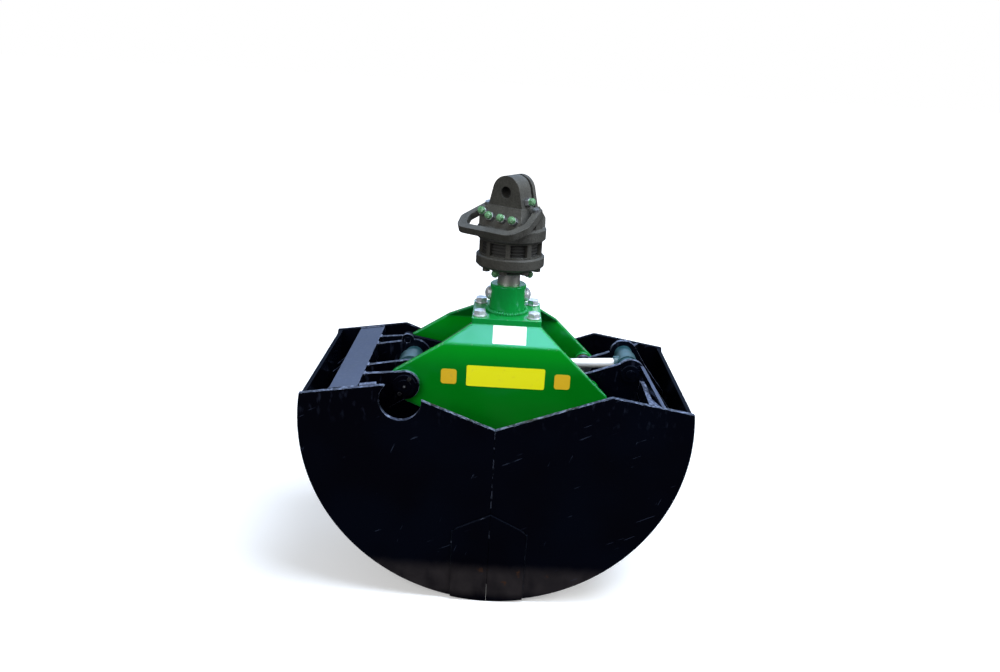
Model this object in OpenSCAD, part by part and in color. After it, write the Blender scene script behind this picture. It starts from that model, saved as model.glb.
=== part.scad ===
// Clamshell bucket with its cylinder, head and swivel, hanging closed.
// Millimetres. X is the way the shells open, Y runs along the pins and -Y is the front,
// +Z is up. The origin is the middle of the hanger bore at the top of the swivel.
// Heights in the sections below are measured from the rim of the shells, unless they say otherwise.

/* [Shells] */
// Width of the bucket over the side plates
bucket_w = 430; // [380:5:480]
// Radius of the round outline of the side plates
side_r = 412; // [409:1:415]
// Depth of the centre of that outline below the rim
arc_drop = 59; // [50:1:70]
// Thickness of a side plate
side_t = 10; // [8:0.5:12]
// Set-in of the outer corner of a side plate from the widest point of the round
corner_in = 1; // [0:0.5:4]
// Distance along X from the pivot out to the peak of a side plate
peak_out = 36; // [30:1:42]
// Height of the peak above the rim
peak_h = 28; // [20:1:34]
// Radius that rounds the peak
peak_r = 16; // [8:1:24]
// Depth of the notch between the two shells below the rim
vee_drop = 60; // [50:1:70]
// Gap between the two shells when they are closed
seam_gap = 0.6; // [0.4:0.1:1]
// Radius of the access notch round the left pin in the front side plate
notch_r = 44; // [40:1:48]
// Set-in of the wrap plate from the edge of the side plates
wrap_step = 4; // [3:0.5:6]
// Thickness of the wrap plate
wrap_t = 8; // [6:0.5:10]
// Thickness of the cutting lip
lip_t = 18; // [14:1:22]
// Width of the cutting lip, from the seam
lip_w = 90; // [70:1:110]
// Width of an edge strip on a side plate, from the seam
strip_w = 80; // [60:1:100]
// Height of an edge strip above the bottom of the bucket
strip_h = 215; // [160:5:260]
// Thickness of an edge strip
strip_t = 5; // [3:0.5:8]

/* [Cross bars and ribs] */
// Distance from the widest point of the round to the left cross bar
left_bar_in = 62; // [58:1:68]
// Width of the left cross bar
left_bar_w = 60; // [50:1:64]
// Distance along X from the rod pin out to the right cross bar
right_bar_out = 24.5; // [24:0.5:26]
// Width of the right cross bar, a flat bar on edge
right_bar_w = 10; // [8:0.5:11]
// Thickness of a brace between a right rib and its side plate
brace_t = 7; // [5:0.5:9]
// Height of a cross bar's section
bar_h = 30; // [24:1:36]
// Wall of a cross bar
bar_wall = 5; // [4:0.5:7]
// Thickness of a rib
rib_t = 10; // [8:0.5:11]
// Distance from the middle to an inner rib of the left shell
inner_rib_y = 71; // [70:0.5:72]
// Distance from the middle to an outer rib of the left shell
outer_rib_y = 125; // [124:0.5:128]
// Distance from the middle to a rib of the right shell
right_rib_y = 65.5; // [63:0.5:66]
// Radius of an inner ear of the left shell
inner_ear_r = 38; // [34:1:40]
// Radius of an outer ear of the left shell
outer_ear_r = 31.5; // [28:0.5:34]
// Radius of the ear of the right shell's front rib
right_ear_r = 29; // [28:0.5:31]
// Half height of the front rib between its ear and its lug
right_web_r = 28; // [25:0.5:28]
// Radius of the ear of the right shell's rear rib, which is cut lower
rear_ear_r = 22; // [21:0.5:24]
// Half height of the rear rib between its ear and its lug
rear_web_r = 13.5; // [12:0.5:16]
// Radius of a lug that holds the rod pin
lug_r = 32; // [30:0.5:32]
// Distance along X from the pivot out to the rod pin
rod_pin_out = 90; // [88:0.5:92]
// Height of the rod pin above the rim
rod_pin_h = 30; // [29:0.5:31]

/* [Pivots] */
// Distance from the widest point of the round in to a pivot
pivot_in = 212; // [210:0.5:214]
// Depth of the pivots below the rim
pivot_drop = 4; // [3:0.5:5]
// Diameter of a pivot pin
pin_d = 30; // [26:1:30]
// Running clearance of a pin in its bush, on the radius
pin_clear = 0.06; // [0.03:0.01:0.1]
// Wall of a bronze bush
bush_wall = 2.5; // [2:0.5:3]
// Outside diameter of a left boss in the head
left_boss_d = 56; // [50:1:60]
// Outside diameter of a right boss in the head
right_boss_d = 41; // [40:0.5:42]
// Length of a boss inside its head plate
boss_in = 16; // [14:0.5:17]
// Clearance between pieces that turn side by side
side_clear = 0.4; // [0.3:0.1:0.6]

/* [Head] */
// Distance from the middle of the pivots to the swivel's axis
axis_x = 11; // [0:1:14]
// Distance from the middle to the outer face of a head plate
head_y = 114; // [112:0.5:115]
// Thickness of a head plate
head_t = 10; // [8:0.5:11]
// Height of the fold of a head plate
fold_h = 91; // [84:1:98]
// Height of the head's top face
head_h = 127; // [120:1:134]
// Distance from the middle to the top edge of a head plate
head_top_y = 75; // [70:1:80]
// Depth of the lowest point of a head plate
head_drop = 126; // [120:1:134]
// Thickness of the head's top plate
top_t = 12; // [10:1:14]
// Length of the flange plate along X
flange_x = 151; // [145:1:157]
// Length of the flange plate along Y
flange_y = 150; // [144:1:156]
// Thickness of the flange plate
flange_t = 12; // [10:1:14]
// Spacing of the flange bolts along X
bolt_x = 118; // [112:1:122]
// Spacing of the flange bolts along Y
bolt_y = 104; // [98:1:106]
// Shank diameter of a flange bolt
bolt_d = 16; // [14:1:16]
// Outside diameter of the collar
collar_d = 80; // [76:1:84]
// Bore of the collar
collar_bore = 50; // [48:0.5:52]
// Height of the collar
collar_h = 63; // [58:1:70]
// Distance from the collar's top to the cross bolt
cross_drop = 24; // [20:1:28]
// Diameter of the cross bolt
cross_d = 20; // [16:1:22]
// Diameter of the domed heads of the cross bolt
dome_d = 31; // [28:1:34]
// Height of the domed heads
dome_h = 11; // [9:1:13]

/* [Cylinder] */
// Bore of the cylinder tube
tube_bore = 40; // [38:1:42]
// Wall of the cylinder tube
tube_wall = 6; // [4:0.5:7]
// Diameter of the piston rod
rod_d = 22; // [18:1:24]
// Distance from the face of the gland to the rod pin when the bucket is closed
rod_show = 138; // [134:0.5:142]
// Length of the gland
gland_l = 42; // [36:1:48]
// Diameter of the gland
gland_d = 56; // [54:1:58]
// Outside diameter of the base eye
base_eye_d = 60; // [56:1:62]
// Width of the base eye
base_eye_w = 50; // [44:1:56]
// Outside diameter of the rod eye
rod_eye_d = 47; // [45:1:48]
// Width of the rod eye
rod_eye_w = 40; // [34:1:46]
// Diameter of the rod pin
rod_pin_d = 20; // [18:1:20]
// Play of the rod eye on its pin, on the radius
rod_play = 5.4; // [5.2:0.1:5.6]

/* [Synchronising link] */
// Crank radius of the link's pins about the pivots
crank_r = 40; // [39:0.5:41]
// Angle of the cranks from the vertical when the bucket is closed
crank_angle = 25; // [24:0.5:26]
// Diameter of a link pin
link_pin_d = 14; // [12:1:14]
// Play of the link on its right pin, on the radius
link_play = 5.4; // [5.2:0.1:5.6]
// Width of the link's bar
link_w = 18; // [16:1:20]
// Thickness of the link
link_t = 10; // [8:0.5:10.5]

/* [Swivel] */
// Turn of the swivel's lug from the front, seen from above
swivel_turn = 35; // [0:1:60]
// Diameter of the swivel's shaft
shaft_d = 49.5; // [47:0.5:49.6]
// Length of the shaft below the cross bolt
shaft_tail = 25; // [20:1:28]
// Gap between the collar and the swivel's neck
neck_gap = 27; // [22:1:32]
// Diameter of the neck
neck_d = 84; // [76:1:92]
// Height of the neck
neck_h = 14; // [10:1:18]
// Diameter of the lower flange
low_flange_d = 150; // [146:1:156]
// Height of the lower flange
low_flange_h = 27; // [24:1:30]
// Diameter of the cage
cage_d = 138; // [134:1:142]
// Height of the cage
cage_h = 34; // [30:1:38]
// Wall of the cage
cage_wall = 8; // [6:0.5:9]
// Number of windows in the cage
windows = 9; // [6:1:12]
// Diameter of the drum
drum_d = 150; // [146:1:156]
// Height of the drum
drum_h = 29; // [26:1:34]
// Height of the pedestal on the drum
pedestal_h = 42; // [36:1:46]
// Height of the hanger bore above the pedestal
bore_h = 30; // [26:1:34]
// Diameter of the hanger bore
hanger_d = 25; // [22:0.5:28]
// Radius of the hanger lug round its bore
hanger_r = 35; // [32:1:38]
// Thickness of the hanger lug's thick wall
lug_thick = 42; // [38:1:46]
// Gap between the thick wall and the back wall
lug_gap = 8; // [6:1:10]
// Thickness of the back wall
lug_back = 10; // [8:1:12]
// Reach of the hose guard from the axis
guard_reach = 104; // [98:1:110]
// Half width of the hose guard
guard_half = 88; // [84:1:92]
// Width of the hose guard's bar
guard_w = 17; // [14:1:20]
// Thickness of the hose guard's bar
guard_t = 15; // [12:1:18]
// Slope of the hose guard
guard_slope = 20; // [16:1:24]

/* [Hidden] */
$fn = 64;

// Paint and metal colours
shell_paint = [0.04, 0.04, 0.06];
worn_steel = [0.55, 0.55, 0.58];
head_paint = [0.0, 0.42, 0.11];
zinc = [0.75, 0.76, 0.78];
cast_grey = [0.3, 0.3, 0.29];
cap_green = [0.3, 0.65, 0.4];
bronze = [0.7, 0.5, 0.25];
chrome = [0.88, 0.89, 0.9];
cylinder_grey = [0.33, 0.4, 0.42];
seal_black = [0.08, 0.08, 0.08];

// Overrun of every cut past the face that it leaves
over = 1;
// Facets of the small arcs that round the corners of a plate
corner_steps = 6;
// Facets of the large rounds of the shells
shell_facets = 180;

// Heights of the stack, from the rim up to the hanger bore
flange_z = head_h + flange_t;
collar_top = flange_z + collar_h;
cross_z = collar_top - cross_drop;
neck_z = collar_top + neck_gap;
low_flange_z = neck_z + neck_h;
cage_z = low_flange_z + low_flange_h;
drum_z = cage_z + cage_h;
deck_z = drum_z + drum_h;
lug_z = deck_z + pedestal_h;
bore_z = lug_z + bore_h;

// Distances from the seam
pivot_x = side_r - pivot_in;
rod_pin_x = pivot_x + rod_pin_out;
peak_x = pivot_x + peak_out;
corner_x = side_r - corner_in;
left_bar_x = side_r - left_bar_in - left_bar_w;
right_bar_x = rod_pin_x + right_bar_out;

// Places of the pivots and of the rod pin in the X-Z plane
left_pivot = [-pivot_x, -pivot_drop];
right_pivot = [pivot_x, -pivot_drop];
rod_point = [rod_pin_x, rod_pin_h];
// The crank pins of the synchronising link
left_crank = left_pivot + crank_r * [-sin(crank_angle), cos(crank_angle)];
right_crank = right_pivot + crank_r * [-sin(crank_angle), -cos(crank_angle)];

// The cylinder's axis runs from the left pivot to the rod pin
cyl_vector = rod_point - left_pivot;
cyl_length = norm(cyl_vector);
cyl_angle = atan2(cyl_vector[1], cyl_vector[0]);
gland_reach = cyl_length - rod_show;

// Half widths and faces along Y
side_in = bucket_w / 2 - side_t;
inner_ear_out = inner_rib_y + rib_t / 2;
outer_ear_in = outer_rib_y - rib_t / 2;
outer_ear_out = outer_rib_y + rib_t / 2;
right_rib_in = right_rib_y - rib_t / 2;
right_rib_out = right_rib_y + rib_t / 2;
head_in = head_y - head_t;
boss_start = head_in - boss_in;
boss_end = outer_ear_in - side_clear;
bush_d = pin_d + 2 * bush_wall;
wrap_r = side_r - wrap_step;
bottom_z = -arc_drop - side_r;

// Width over the corners of a hexagon as a share of its width over the flats
hex_share = 1 / cos(30);

// Puts the rim's frame, which the shells and the head are drawn in, into the part's frame
module on_rim() {
    translate([-axis_x, 0, -bore_z]) children();
}

// Puts the swivel's own axes, with its lug facing the front, into the part's frame
module on_swivel() {
    translate([0, 0, -bore_z]) rotate([0, 0, -swivel_turn]) children();
}

// Extrudes a drawing of the X-Z plane from y to y + t
module slab(y, t) {
    rotate([90, 0, 0]) translate([0, 0, -y - t]) linear_extrude(t) children();
}

// The same, once in front and once behind the middle, from y outwards
module slab_pair(y, t) {
    slab(y, t) children();
    slab(-y - t, t) children();
}

// A cylinder along Y from y to y + l, round a point of the X-Z plane
module pin_y(p, d, y, l) {
    translate([p[0], y, p[1]]) rotate([-90, 0, 0]) cylinder(d = d, h = l);
}

module ring_y(p, d, bore, y, l) {
    difference() {
        pin_y(p, d, y, l);
        pin_y(p, bore, y - over, l + 2 * over);
    }
}

// A hexagon prism along Y
module hex_y(p, af, y, l) {
    translate([p[0], y, p[1]]) rotate([-90, 0, 0]) cylinder(d = af * hex_share, h = l, $fn = 6);
}

module dot(p, r) {
    translate(p) circle(r = r);
}

// The points of an arc that rounds the corner b between the points a and c
function unit(v) = v / norm(v);
function fillet(a, b, c, r) =
    let (
        u = unit(a - b),
        v = unit(c - b),
        half = acos(u * v) / 2,
        reach = r / tan(half),
        middle = b + unit(u + v) * r / sin(half),
        p = b + u * reach - middle,
        q = b + v * reach - middle,
        start = atan2(p[1], p[0]),
        turn = atan2(q[1], q[0]) - start,
        sweep = turn > 180 ? turn - 360 : turn < -180 ? turn + 360 : turn)
    [for (i = [0 : corner_steps])
        middle + r * [cos(start + sweep * i / corner_steps), sin(start + sweep * i / corner_steps)]];

// An outline whose corners [x, z, r] are rounded by their own radius
function outline(points) =
    let (n = len(points))
    [for (i = [0 : n - 1])
        let (
            b = points[i],
            a = points[(i + n - 1) % n],
            c = points[(i + 1) % n])
        each b[2] > 0
            ? fillet([a[0], a[1]], [b[0], b[1]], [c[0], c[1]], b[2])
            : [[b[0], b[1]]]];

// A strap between two circles of the X-Z plane, with straight tangent edges
module strap(p, r, q, s) {
    v = q - p;
    a = atan2(v[1], v[0]);
    b = acos((r - s) / norm(v));
    dot(p, r);
    dot(q, s);
    polygon([
        p + r * [cos(a + b), sin(a + b)],
        q + s * [cos(a + b), sin(a + b)],
        q + s * [cos(a - b), sin(a - b)],
        p + r * [cos(a - b), sin(a - b)]]);
}

// A straight bar of a width between two points of the X-Z plane
module bar_between(p, q, w) {
    v = unit(q - p) * w / 2;
    side = [-v[1], v[0]];
    polygon([p + side, q + side, q - side, p - side]);
}

// SHELLS
// Both shells share one drawing, made for the right shell and mirrored for the left one.

module mirror_left(left) {
    if (left) mirror([1, 0, 0]) children();
    else children();
}

// Slope of a side plate's top edge, and a point on it at a distance from the seam
top_slope = atan2(peak_h, corner_x - peak_x);
function top_edge(x) = peak_h - (x - peak_x) * tan(top_slope);

module side_outline() {
    intersection() {
        translate([0, -arc_drop]) circle(r = side_r, $fn = shell_facets);
        polygon(outline([
            [seam_gap / 2, bottom_z - over, 0],
            [seam_gap / 2, -vee_drop, 0],
            [peak_x, peak_h, peak_r],
            [corner_x, 0, 0],
            [side_r + over, 0, 0],
            [side_r + over, bottom_z - over, 0]]));
    }
}

module side_plate(front, left, notched) {
    y = front ? -bucket_w / 2 : side_in;
    color(shell_paint) on_rim() slab(y, side_t) difference() {
        mirror_left(left) side_outline();
        if (notched) dot(left_pivot, notch_r);
    }
}

// The round band between two radii, from the seam to a distance from it or beyond that
module band_2d(r, t, low, high) {
    intersection() {
        translate([0, -arc_drop]) difference() {
            circle(r = r, $fn = shell_facets);
            circle(r = r - t, $fn = shell_facets);
        }
        polygon([
            [low, bottom_z - over],
            [high, bottom_z - over],
            [high, -arc_drop],
            [side_r + over, -arc_drop],
            [side_r + over, high > side_r ? 0 : -arc_drop],
            [low, high > side_r ? 0 : -arc_drop]]);
    }
}

module wrap(left) {
    color(shell_paint) on_rim() slab(-side_in, 2 * side_in) mirror_left(left)
        band_2d(wrap_r, wrap_t, lip_w, side_r + over);
}

// The lip is thicker than the wrap, on the inside, and bevelled towards its back
lip_bevel = 10;
module lip(left) {
    color(shell_paint) on_rim() slab(-side_in, 2 * side_in) mirror_left(left) intersection() {
        band_2d(wrap_r, lip_t, seam_gap / 2, lip_w);
        polygon([
            [0, bottom_z],
            [lip_w, bottom_z],
            [lip_w, -arc_drop - wrap_r + wrap_t + lip_bevel],
            [lip_w - lip_bevel, -arc_drop - wrap_r + lip_t + lip_bevel],
            [0, -arc_drop - wrap_r + lip_t + lip_bevel]]);
    }
}

// The strips' outer corners are cut back and rounded
strip_cut = 40;
strip_corner_r = 20;
module edge_strips(left) {
    color(shell_paint) on_rim() slab_pair(bucket_w / 2, strip_t) mirror_left(left) intersection() {
        translate([0, -arc_drop]) circle(r = side_r, $fn = shell_facets);
        polygon(outline([
            [seam_gap / 2, bottom_z - over, 0],
            [strip_w, bottom_z - over, 0],
            [strip_w, bottom_z + strip_h - strip_cut, strip_corner_r],
            [seam_gap / 2, bottom_z + strip_h, 0]]));
    }
}

// A cross bar lies along the top edges of the side plates
bar_sink = 2;
module bar_section(x, w) {
    translate([x, top_edge(x) - bar_sink]) rotate(-top_slope) translate([0, -bar_h]) children();
}

module bar_2d(x, w) {
    bar_section(x, w) square([w, bar_h]);
}

module left_cross_bar() {
    color(shell_paint) on_rim() slab(-side_in, 2 * side_in) mirror_left(true) difference() {
        bar_2d(left_bar_x, left_bar_w);
        bar_section(left_bar_x, left_bar_w) translate([bar_wall, bar_wall])
            square([left_bar_w - 2 * bar_wall, bar_h - 2 * bar_wall]);
    }
}

module right_cross_bar() {
    color(shell_paint) on_rim() slab(-side_in, 2 * side_in) bar_2d(right_bar_x, right_bar_w);
}

// The ribs run from an ear at the pivot, under the cross bar, to the inside of the wrap.
// Their feet are given as shares of the wrap's inner radius, and as heights.
rib_foot_share = 0.985;
rib_heel_share = 0.93;
rib_foot_top = -60;
rib_foot_low = -118;
rib_heel_z = -148;
module rib_web(ear_r, bar_x) {
    r = wrap_r - wrap_t;
    intersection() {
        translate([0, -arc_drop]) circle(r = r, $fn = shell_facets);
        polygon([
            [pivot_x, ear_r - pivot_drop],
            [bar_x, top_edge(bar_x) - bar_sink],
            [bar_x + bar_h, top_edge(bar_x + bar_h) - bar_sink - bar_wall],
            [r * rib_foot_share, rib_foot_top],
            [r * rib_foot_share, rib_foot_low],
            [r * rib_heel_share, rib_heel_z],
            [pivot_x, -pivot_drop - ear_r]]);
    }
}

module left_rib_2d(ear_r) {
    difference() {
        mirror([1, 0, 0]) difference() {
            union() {
                rib_web(ear_r, left_bar_x);
                dot(right_pivot, ear_r);
            }
            bar_2d(left_bar_x, left_bar_w);
        }
        dot(left_pivot, pin_d / 2);
    }
}

// The far inner ear also carries the crank pin of the synchronising link
link_eye_wall = 7;
link_eye_r = link_pin_d / 2 + link_eye_wall;
module left_inner_ribs() {
    color(shell_paint) on_rim() {
        slab(-inner_ear_out, rib_t) left_rib_2d(inner_ear_r);
        slab(inner_ear_out - rib_t, rib_t) difference() {
            union() {
                left_rib_2d(inner_ear_r);
                difference() {
                    strap(left_pivot, link_eye_r, left_crank, link_eye_r);
                    dot(left_pivot, pin_d / 2);
                }
            }
            dot(left_crank, link_pin_d / 2);
        }
    }
}

module left_outer_ribs() {
    color(shell_paint) on_rim() slab_pair(outer_ear_in, rib_t) left_rib_2d(outer_ear_r);
}

// The right ribs rise to the lugs of the rod pin, and a strap runs from there down to the wrap
lug_foot_share = 0.96;
module right_rib_2d(ear_r, web_r) {
    r = wrap_r - wrap_t;
    difference() {
        union() {
            rib_web(web_r, right_bar_x);
            dot(right_pivot, ear_r);
            strap(right_pivot, web_r, rod_point, web_r);
            intersection() {
                translate([0, -arc_drop]) circle(r = r, $fn = shell_facets);
                strap(rod_point, lug_r, [r * lug_foot_share, rib_foot_low], lug_r);
            }
        }
        bar_2d(right_bar_x, right_bar_w);
        dot(right_pivot, pin_d / 2);
        dot(rod_point, rod_pin_d / 2);
    }
}

module right_ribs() {
    color(shell_paint) on_rim() {
        slab(-right_rib_out, rib_t) right_rib_2d(right_ear_r, right_web_r);
        slab(right_rib_in, rib_t) difference() {
            union() {
                right_rib_2d(rear_ear_r, rear_web_r);
                difference() {
                    strap(right_pivot, link_eye_r, right_crank, link_eye_r);
                    dot(right_pivot, pin_d / 2);
                }
            }
            dot(right_crank, link_pin_d / 2);
        }
    }
}

// A brace slopes from the outer edge of a lug down to the top of the side plate. It is given
// by the middle of its height at either end.
brace_h = 16;
brace_lug_out = 24;
brace_lug_up = 11;
brace_side_out = 55;
brace_drop = 1;
module right_brace() {
    low_x = rod_pin_x + brace_side_out;
    low_z = top_edge(low_x) - brace_drop - brace_h / 2;
    back = side_in - right_rib_out;
    slant = brace_side_out - brace_lug_out;
    reach = norm([slant, back]);
    rise = atan2(rod_pin_h + brace_lug_up - low_z, reach);
    intersection() {
        translate([0, -side_in, -side_r]) cube([side_r, back, 2 * side_r]);
        translate([low_x, -side_in, low_z]) rotate([0, 0, atan2(slant, back)])
            rotate([rise, 0, 0]) translate([-brace_t / 2, -brace_h, -brace_h / 2])
            cube([brace_t, reach + 3 * brace_h, brace_h]);
    }
}

module right_braces() {
    color(shell_paint) on_rim() {
        right_brace();
        mirror([0, 1, 0]) right_brace();
    }
}

// Pins, collars and spacers of the left pivot
collar_t = 4;
collar_ring_d = 50;
pin_end = 2;
module left_pivot_pin() {
    y = outer_ear_out + collar_t + pin_end;
    color(shell_paint) on_rim() pin_y(left_pivot, pin_d, -y, 2 * y);
}

module ear_collars() {
    color(shell_paint) on_rim() for (y = [-outer_ear_out - collar_t, outer_ear_out])
        ring_y(left_pivot, collar_ring_d, pin_d, y, collar_t);
}

// Two bolts hold each collar to its ear, on the middle of the ring
collar_bolt_af = 8;
collar_bolt_h = 5;
collar_bolt_r = (collar_ring_d + pin_d) / 4;
collar_bolt_turns = [60, 240];
module collar_bolts() {
    color(zinc) on_rim() for (side = [-1, 1], turn = collar_bolt_turns) {
        p = left_pivot + collar_bolt_r * [cos(turn), sin(turn)];
        y = outer_ear_out + collar_t;
        hex_y(p, collar_bolt_af, side > 0 ? y : -y - collar_bolt_h, collar_bolt_h);
    }
}

// A grease nipple is a collar, a neck and a ball
nipple_d = 7;
nipple_h = 8;
nipple_neck_d = 4.2;
nipple_ball_d = 5.6;
nipple_ball_z = 5.6;
module grease_nipples() {
    y = outer_ear_out + collar_t + pin_end;
    color(zinc) on_rim() for (side = [-1, 1]) {
        pin_y(left_pivot, nipple_d, side > 0 ? y : -y - nipple_h / 2, nipple_h / 2);
        translate([left_pivot[0], side * (y + nipple_ball_z), left_pivot[1]])
            sphere(d = nipple_ball_d);
        pin_y(left_pivot, nipple_neck_d, side > 0 ? y : -y - nipple_ball_z, nipple_ball_z);
    }
}

spacer_d = 44;
module eye_spacers() {
    y = base_eye_w / 2 + side_clear;
    l = inner_rib_y - rib_t / 2 - y;
    color(worn_steel) on_rim() for (start = [-y - l, y])
        ring_y(left_pivot, spacer_d, pin_d, start, l);
}

// The link pins have their heads on the far side of the link
link_pin_head = 5;
link_pin_head_d = 22;
link_cover = 2;
module left_link_pin() {
    y = inner_ear_out - rib_t;
    color(zinc) on_rim() {
        pin_y(left_crank, link_pin_d, y, rib_t + side_clear + link_t + side_clear);
        pin_y(left_crank, link_pin_head_d, inner_ear_out + link_t + 2 * side_clear, link_pin_head);
    }
}

module right_link_pin() {
    color(zinc) on_rim() {
        pin_y(right_crank, link_pin_d, right_rib_in,
            inner_ear_out + link_t + 2 * side_clear - right_rib_in);
        pin_y(right_crank, link_pin_d + 2 * (link_play + link_cover),
            inner_ear_out + link_t + 2 * side_clear, link_pin_head);
        ring_y(right_crank, link_pin_head_d, link_pin_d, right_rib_out,
            inner_ear_out - right_rib_out);
    }
}

// The right pivots are two stub pins, each with a flange on the inside of its rib
stub_flange_t = 7;
stub_flange_rise = 4;
module right_pivot_pins() {
    color(zinc) on_rim() for (side = [-1, 1]) {
        y = right_rib_in - stub_flange_t;
        l = head_in - side_clear - y;
        pin_y(right_pivot, pin_d, side > 0 ? y : -y - l, l);
        pin_y(right_pivot, pin_d + 2 * stub_flange_rise, side > 0 ? y : -y - stub_flange_t,
            stub_flange_t);
    }
}

module rod_pin() {
    y = right_rib_out + collar_t + pin_end;
    color(shell_paint) on_rim() pin_y(rod_point, rod_pin_d, -y, 2 * y);
}

rod_collar_d = 40;
module rod_pin_collars() {
    color(shell_paint) on_rim() for (y = [-right_rib_out - collar_t, right_rib_out])
        ring_y(rod_point, rod_collar_d, rod_pin_d, y, collar_t);
}

rod_spacer_d = 41;
module rod_spacers() {
    y = rod_eye_w / 2 + side_clear;
    l = right_rib_in - y;
    color(worn_steel) on_rim() for (start = [-y - l, y])
        ring_y(rod_point, rod_spacer_d, rod_pin_d, start, l);
}

// HEAD
// A folded plate is the common part of its section, drawn across, and its outline, drawn
// from the front.

fold_lean = atan2(head_y - head_top_y, head_h - fold_h);
module head_section() {
    polygon([
        [-head_y, -head_drop - over],
        [-head_y, fold_h],
        [-head_top_y, head_h],
        [-head_top_y + head_t / cos(fold_lean), head_h],
        [-head_in, fold_h - head_t * tan(fold_lean / 2)],
        [-head_in, -head_drop - over]]);
}

// Corners of the head plate: its top, its folds, its ears and its lowest point
head_top_margin = 2;
head_top_half = flange_x / 2 - head_top_margin;
left_fold_x = 124;
right_fold_x = 130;
left_ear_r = 38;
right_corner_out = [40, -9];
right_foot_out = [28, -42];
right_corner = right_pivot + right_corner_out;
right_foot = right_pivot + right_foot_out;
function touch(p, c, r, side) =
    let (
        v = c - p,
        a = atan2(v[1], v[0]),
        b = asin(r / norm(v)))
    p + sqrt(v * v - r * r) * [cos(a + side * b), sin(a + side * b)];
module head_outline() {
    fold_left = [-left_fold_x, fold_h];
    low = [0, -head_drop];
    dot(left_pivot, left_ear_r);
    polygon(concat(
        [[axis_x - head_top_half, head_h]],
        [fold_left],
        [touch(fold_left, left_pivot, left_ear_r, -1)],
        [left_pivot],
        [touch(low, left_pivot, left_ear_r, 1)],
        fillet([-pivot_x, -pivot_drop - left_ear_r], low, right_foot, head_t),
        fillet(low, right_foot, right_corner, head_t),
        fillet(right_foot, right_corner, [right_fold_x, fold_h], head_t),
        [[right_fold_x, fold_h]],
        [[axis_x + head_top_half, head_h]]));
}

module head_plate(front) {
    half = corner_x;
    color(head_paint) on_rim() difference() {
        intersection() {
            slab(-head_y - over, 2 * (head_y + over)) head_outline();
            mirror([0, front ? 0 : 1, 0]) translate([-half, 0, 0]) rotate([90, 0, 90])
                linear_extrude(2 * half) head_section();
        }
        pin_y(left_pivot, left_boss_d, -bucket_w / 2, bucket_w);
    }
}

// The top plate fills the space between the upper ends of the two head plates
module head_top_plate() {
    lean = tan(fold_lean);
    y = head_top_y - head_t / cos(fold_lean);
    color(head_paint) on_rim() difference() {
        translate([axis_x - head_top_half, 0, 0]) rotate([90, 0, 90])
            linear_extrude(2 * head_top_half)
                polygon([
                    [-y, head_h],
                    [y, head_h],
                    [y + top_t * lean, head_h - top_t],
                    [-y - top_t * lean, head_h - top_t]]);
        flange_holes(head_h - top_t, top_t);
    }
}

module flange_places() {
    for (x = [-bolt_x / 2, bolt_x / 2], y = [-bolt_y / 2, bolt_y / 2])
        translate([axis_x + x, y, 0]) children();
}

module flange_holes(z, t) {
    flange_places() translate([0, 0, z - over]) cylinder(d = bolt_d, h = t + 2 * over);
}

module left_bosses() {
    color(head_paint) on_rim() for (side = [-1, 1]) {
        l = boss_end - boss_start;
        ring_y(left_pivot, left_boss_d, bush_d, side > 0 ? boss_start : -boss_end, l);
    }
}

module right_bosses() {
    color(head_paint) on_rim() for (side = [-1, 1])
        ring_y(right_pivot, right_boss_d, bush_d, side > 0 ? boss_start : -head_in, boss_in);
}

module head_bushes() {
    color(bronze) on_rim() for (side = [-1, 1]) {
        bore = pin_d + 2 * pin_clear;
        l = boss_end - boss_start;
        ring_y(left_pivot, bush_d, bore, side > 0 ? boss_start : -boss_end, l);
        ring_y(right_pivot, bush_d, bore, side > 0 ? boss_start : -head_in, boss_in);
    }
}

// Flange and collar are one welded piece, with the weld as a chamfer at the collar's foot
weld = 5;
module flange_collar() {
    color(head_paint) on_rim() difference() {
        union() {
            translate([axis_x - flange_x / 2, -flange_y / 2, head_h])
                linear_extrude(flange_t) polygon(outline([
                    [0, 0, weld],
                    [flange_x, 0, weld],
                    [flange_x, flange_y, weld],
                    [0, flange_y, weld]]));
            translate([axis_x, 0, 0]) rotate_extrude() polygon([
                [0, flange_z - over],
                [collar_d / 2 + weld, flange_z - over],
                [collar_d / 2 + weld, flange_z],
                [collar_d / 2, flange_z + weld],
                [collar_d / 2, collar_top - weld / 2],
                [collar_d / 2 - weld / 2, collar_top],
                [0, collar_top]]);
        }
        translate([axis_x, 0, head_h - over])
            cylinder(d = collar_bore, h = flange_t + collar_h + 2 * over);
        flange_holes(head_h, flange_t);
        translate([axis_x, 0, cross_z]) {
            rod_x(cross_d, -collar_d, 2 * collar_d);
            rod_x(dome_d + 2 * seat_gap, dome_seat_x, collar_d);
            rod_x(dome_d + 2 * seat_gap, -dome_seat_x - collar_d, collar_d);
        }
    }
}

bolt_af = 24;
bolt_head_h = 10;
washer_d = 30;
washer_t = 3;
module flange_bolts() {
    color(zinc) on_rim() flange_places() {
        translate([0, 0, flange_z + washer_t])
            cylinder(d = bolt_af * hex_share, h = bolt_head_h, $fn = 6);
        translate([0, 0, flange_z]) cylinder(d = washer_d, h = washer_t);
        translate([0, 0, head_h - top_t - bolt_head_h - washer_t])
            cylinder(d = bolt_d, h = flange_z + washer_t - head_h + top_t + bolt_head_h + washer_t);
    }
}

module flange_nuts() {
    color(zinc) on_rim() flange_places() translate([0, 0, head_h - top_t - bolt_head_h])
        difference() {
            cylinder(d = bolt_af * hex_share, h = bolt_head_h, $fn = 6);
            translate([0, 0, -over]) cylinder(d = bolt_d, h = bolt_head_h + 2 * over);
        }
}

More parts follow.
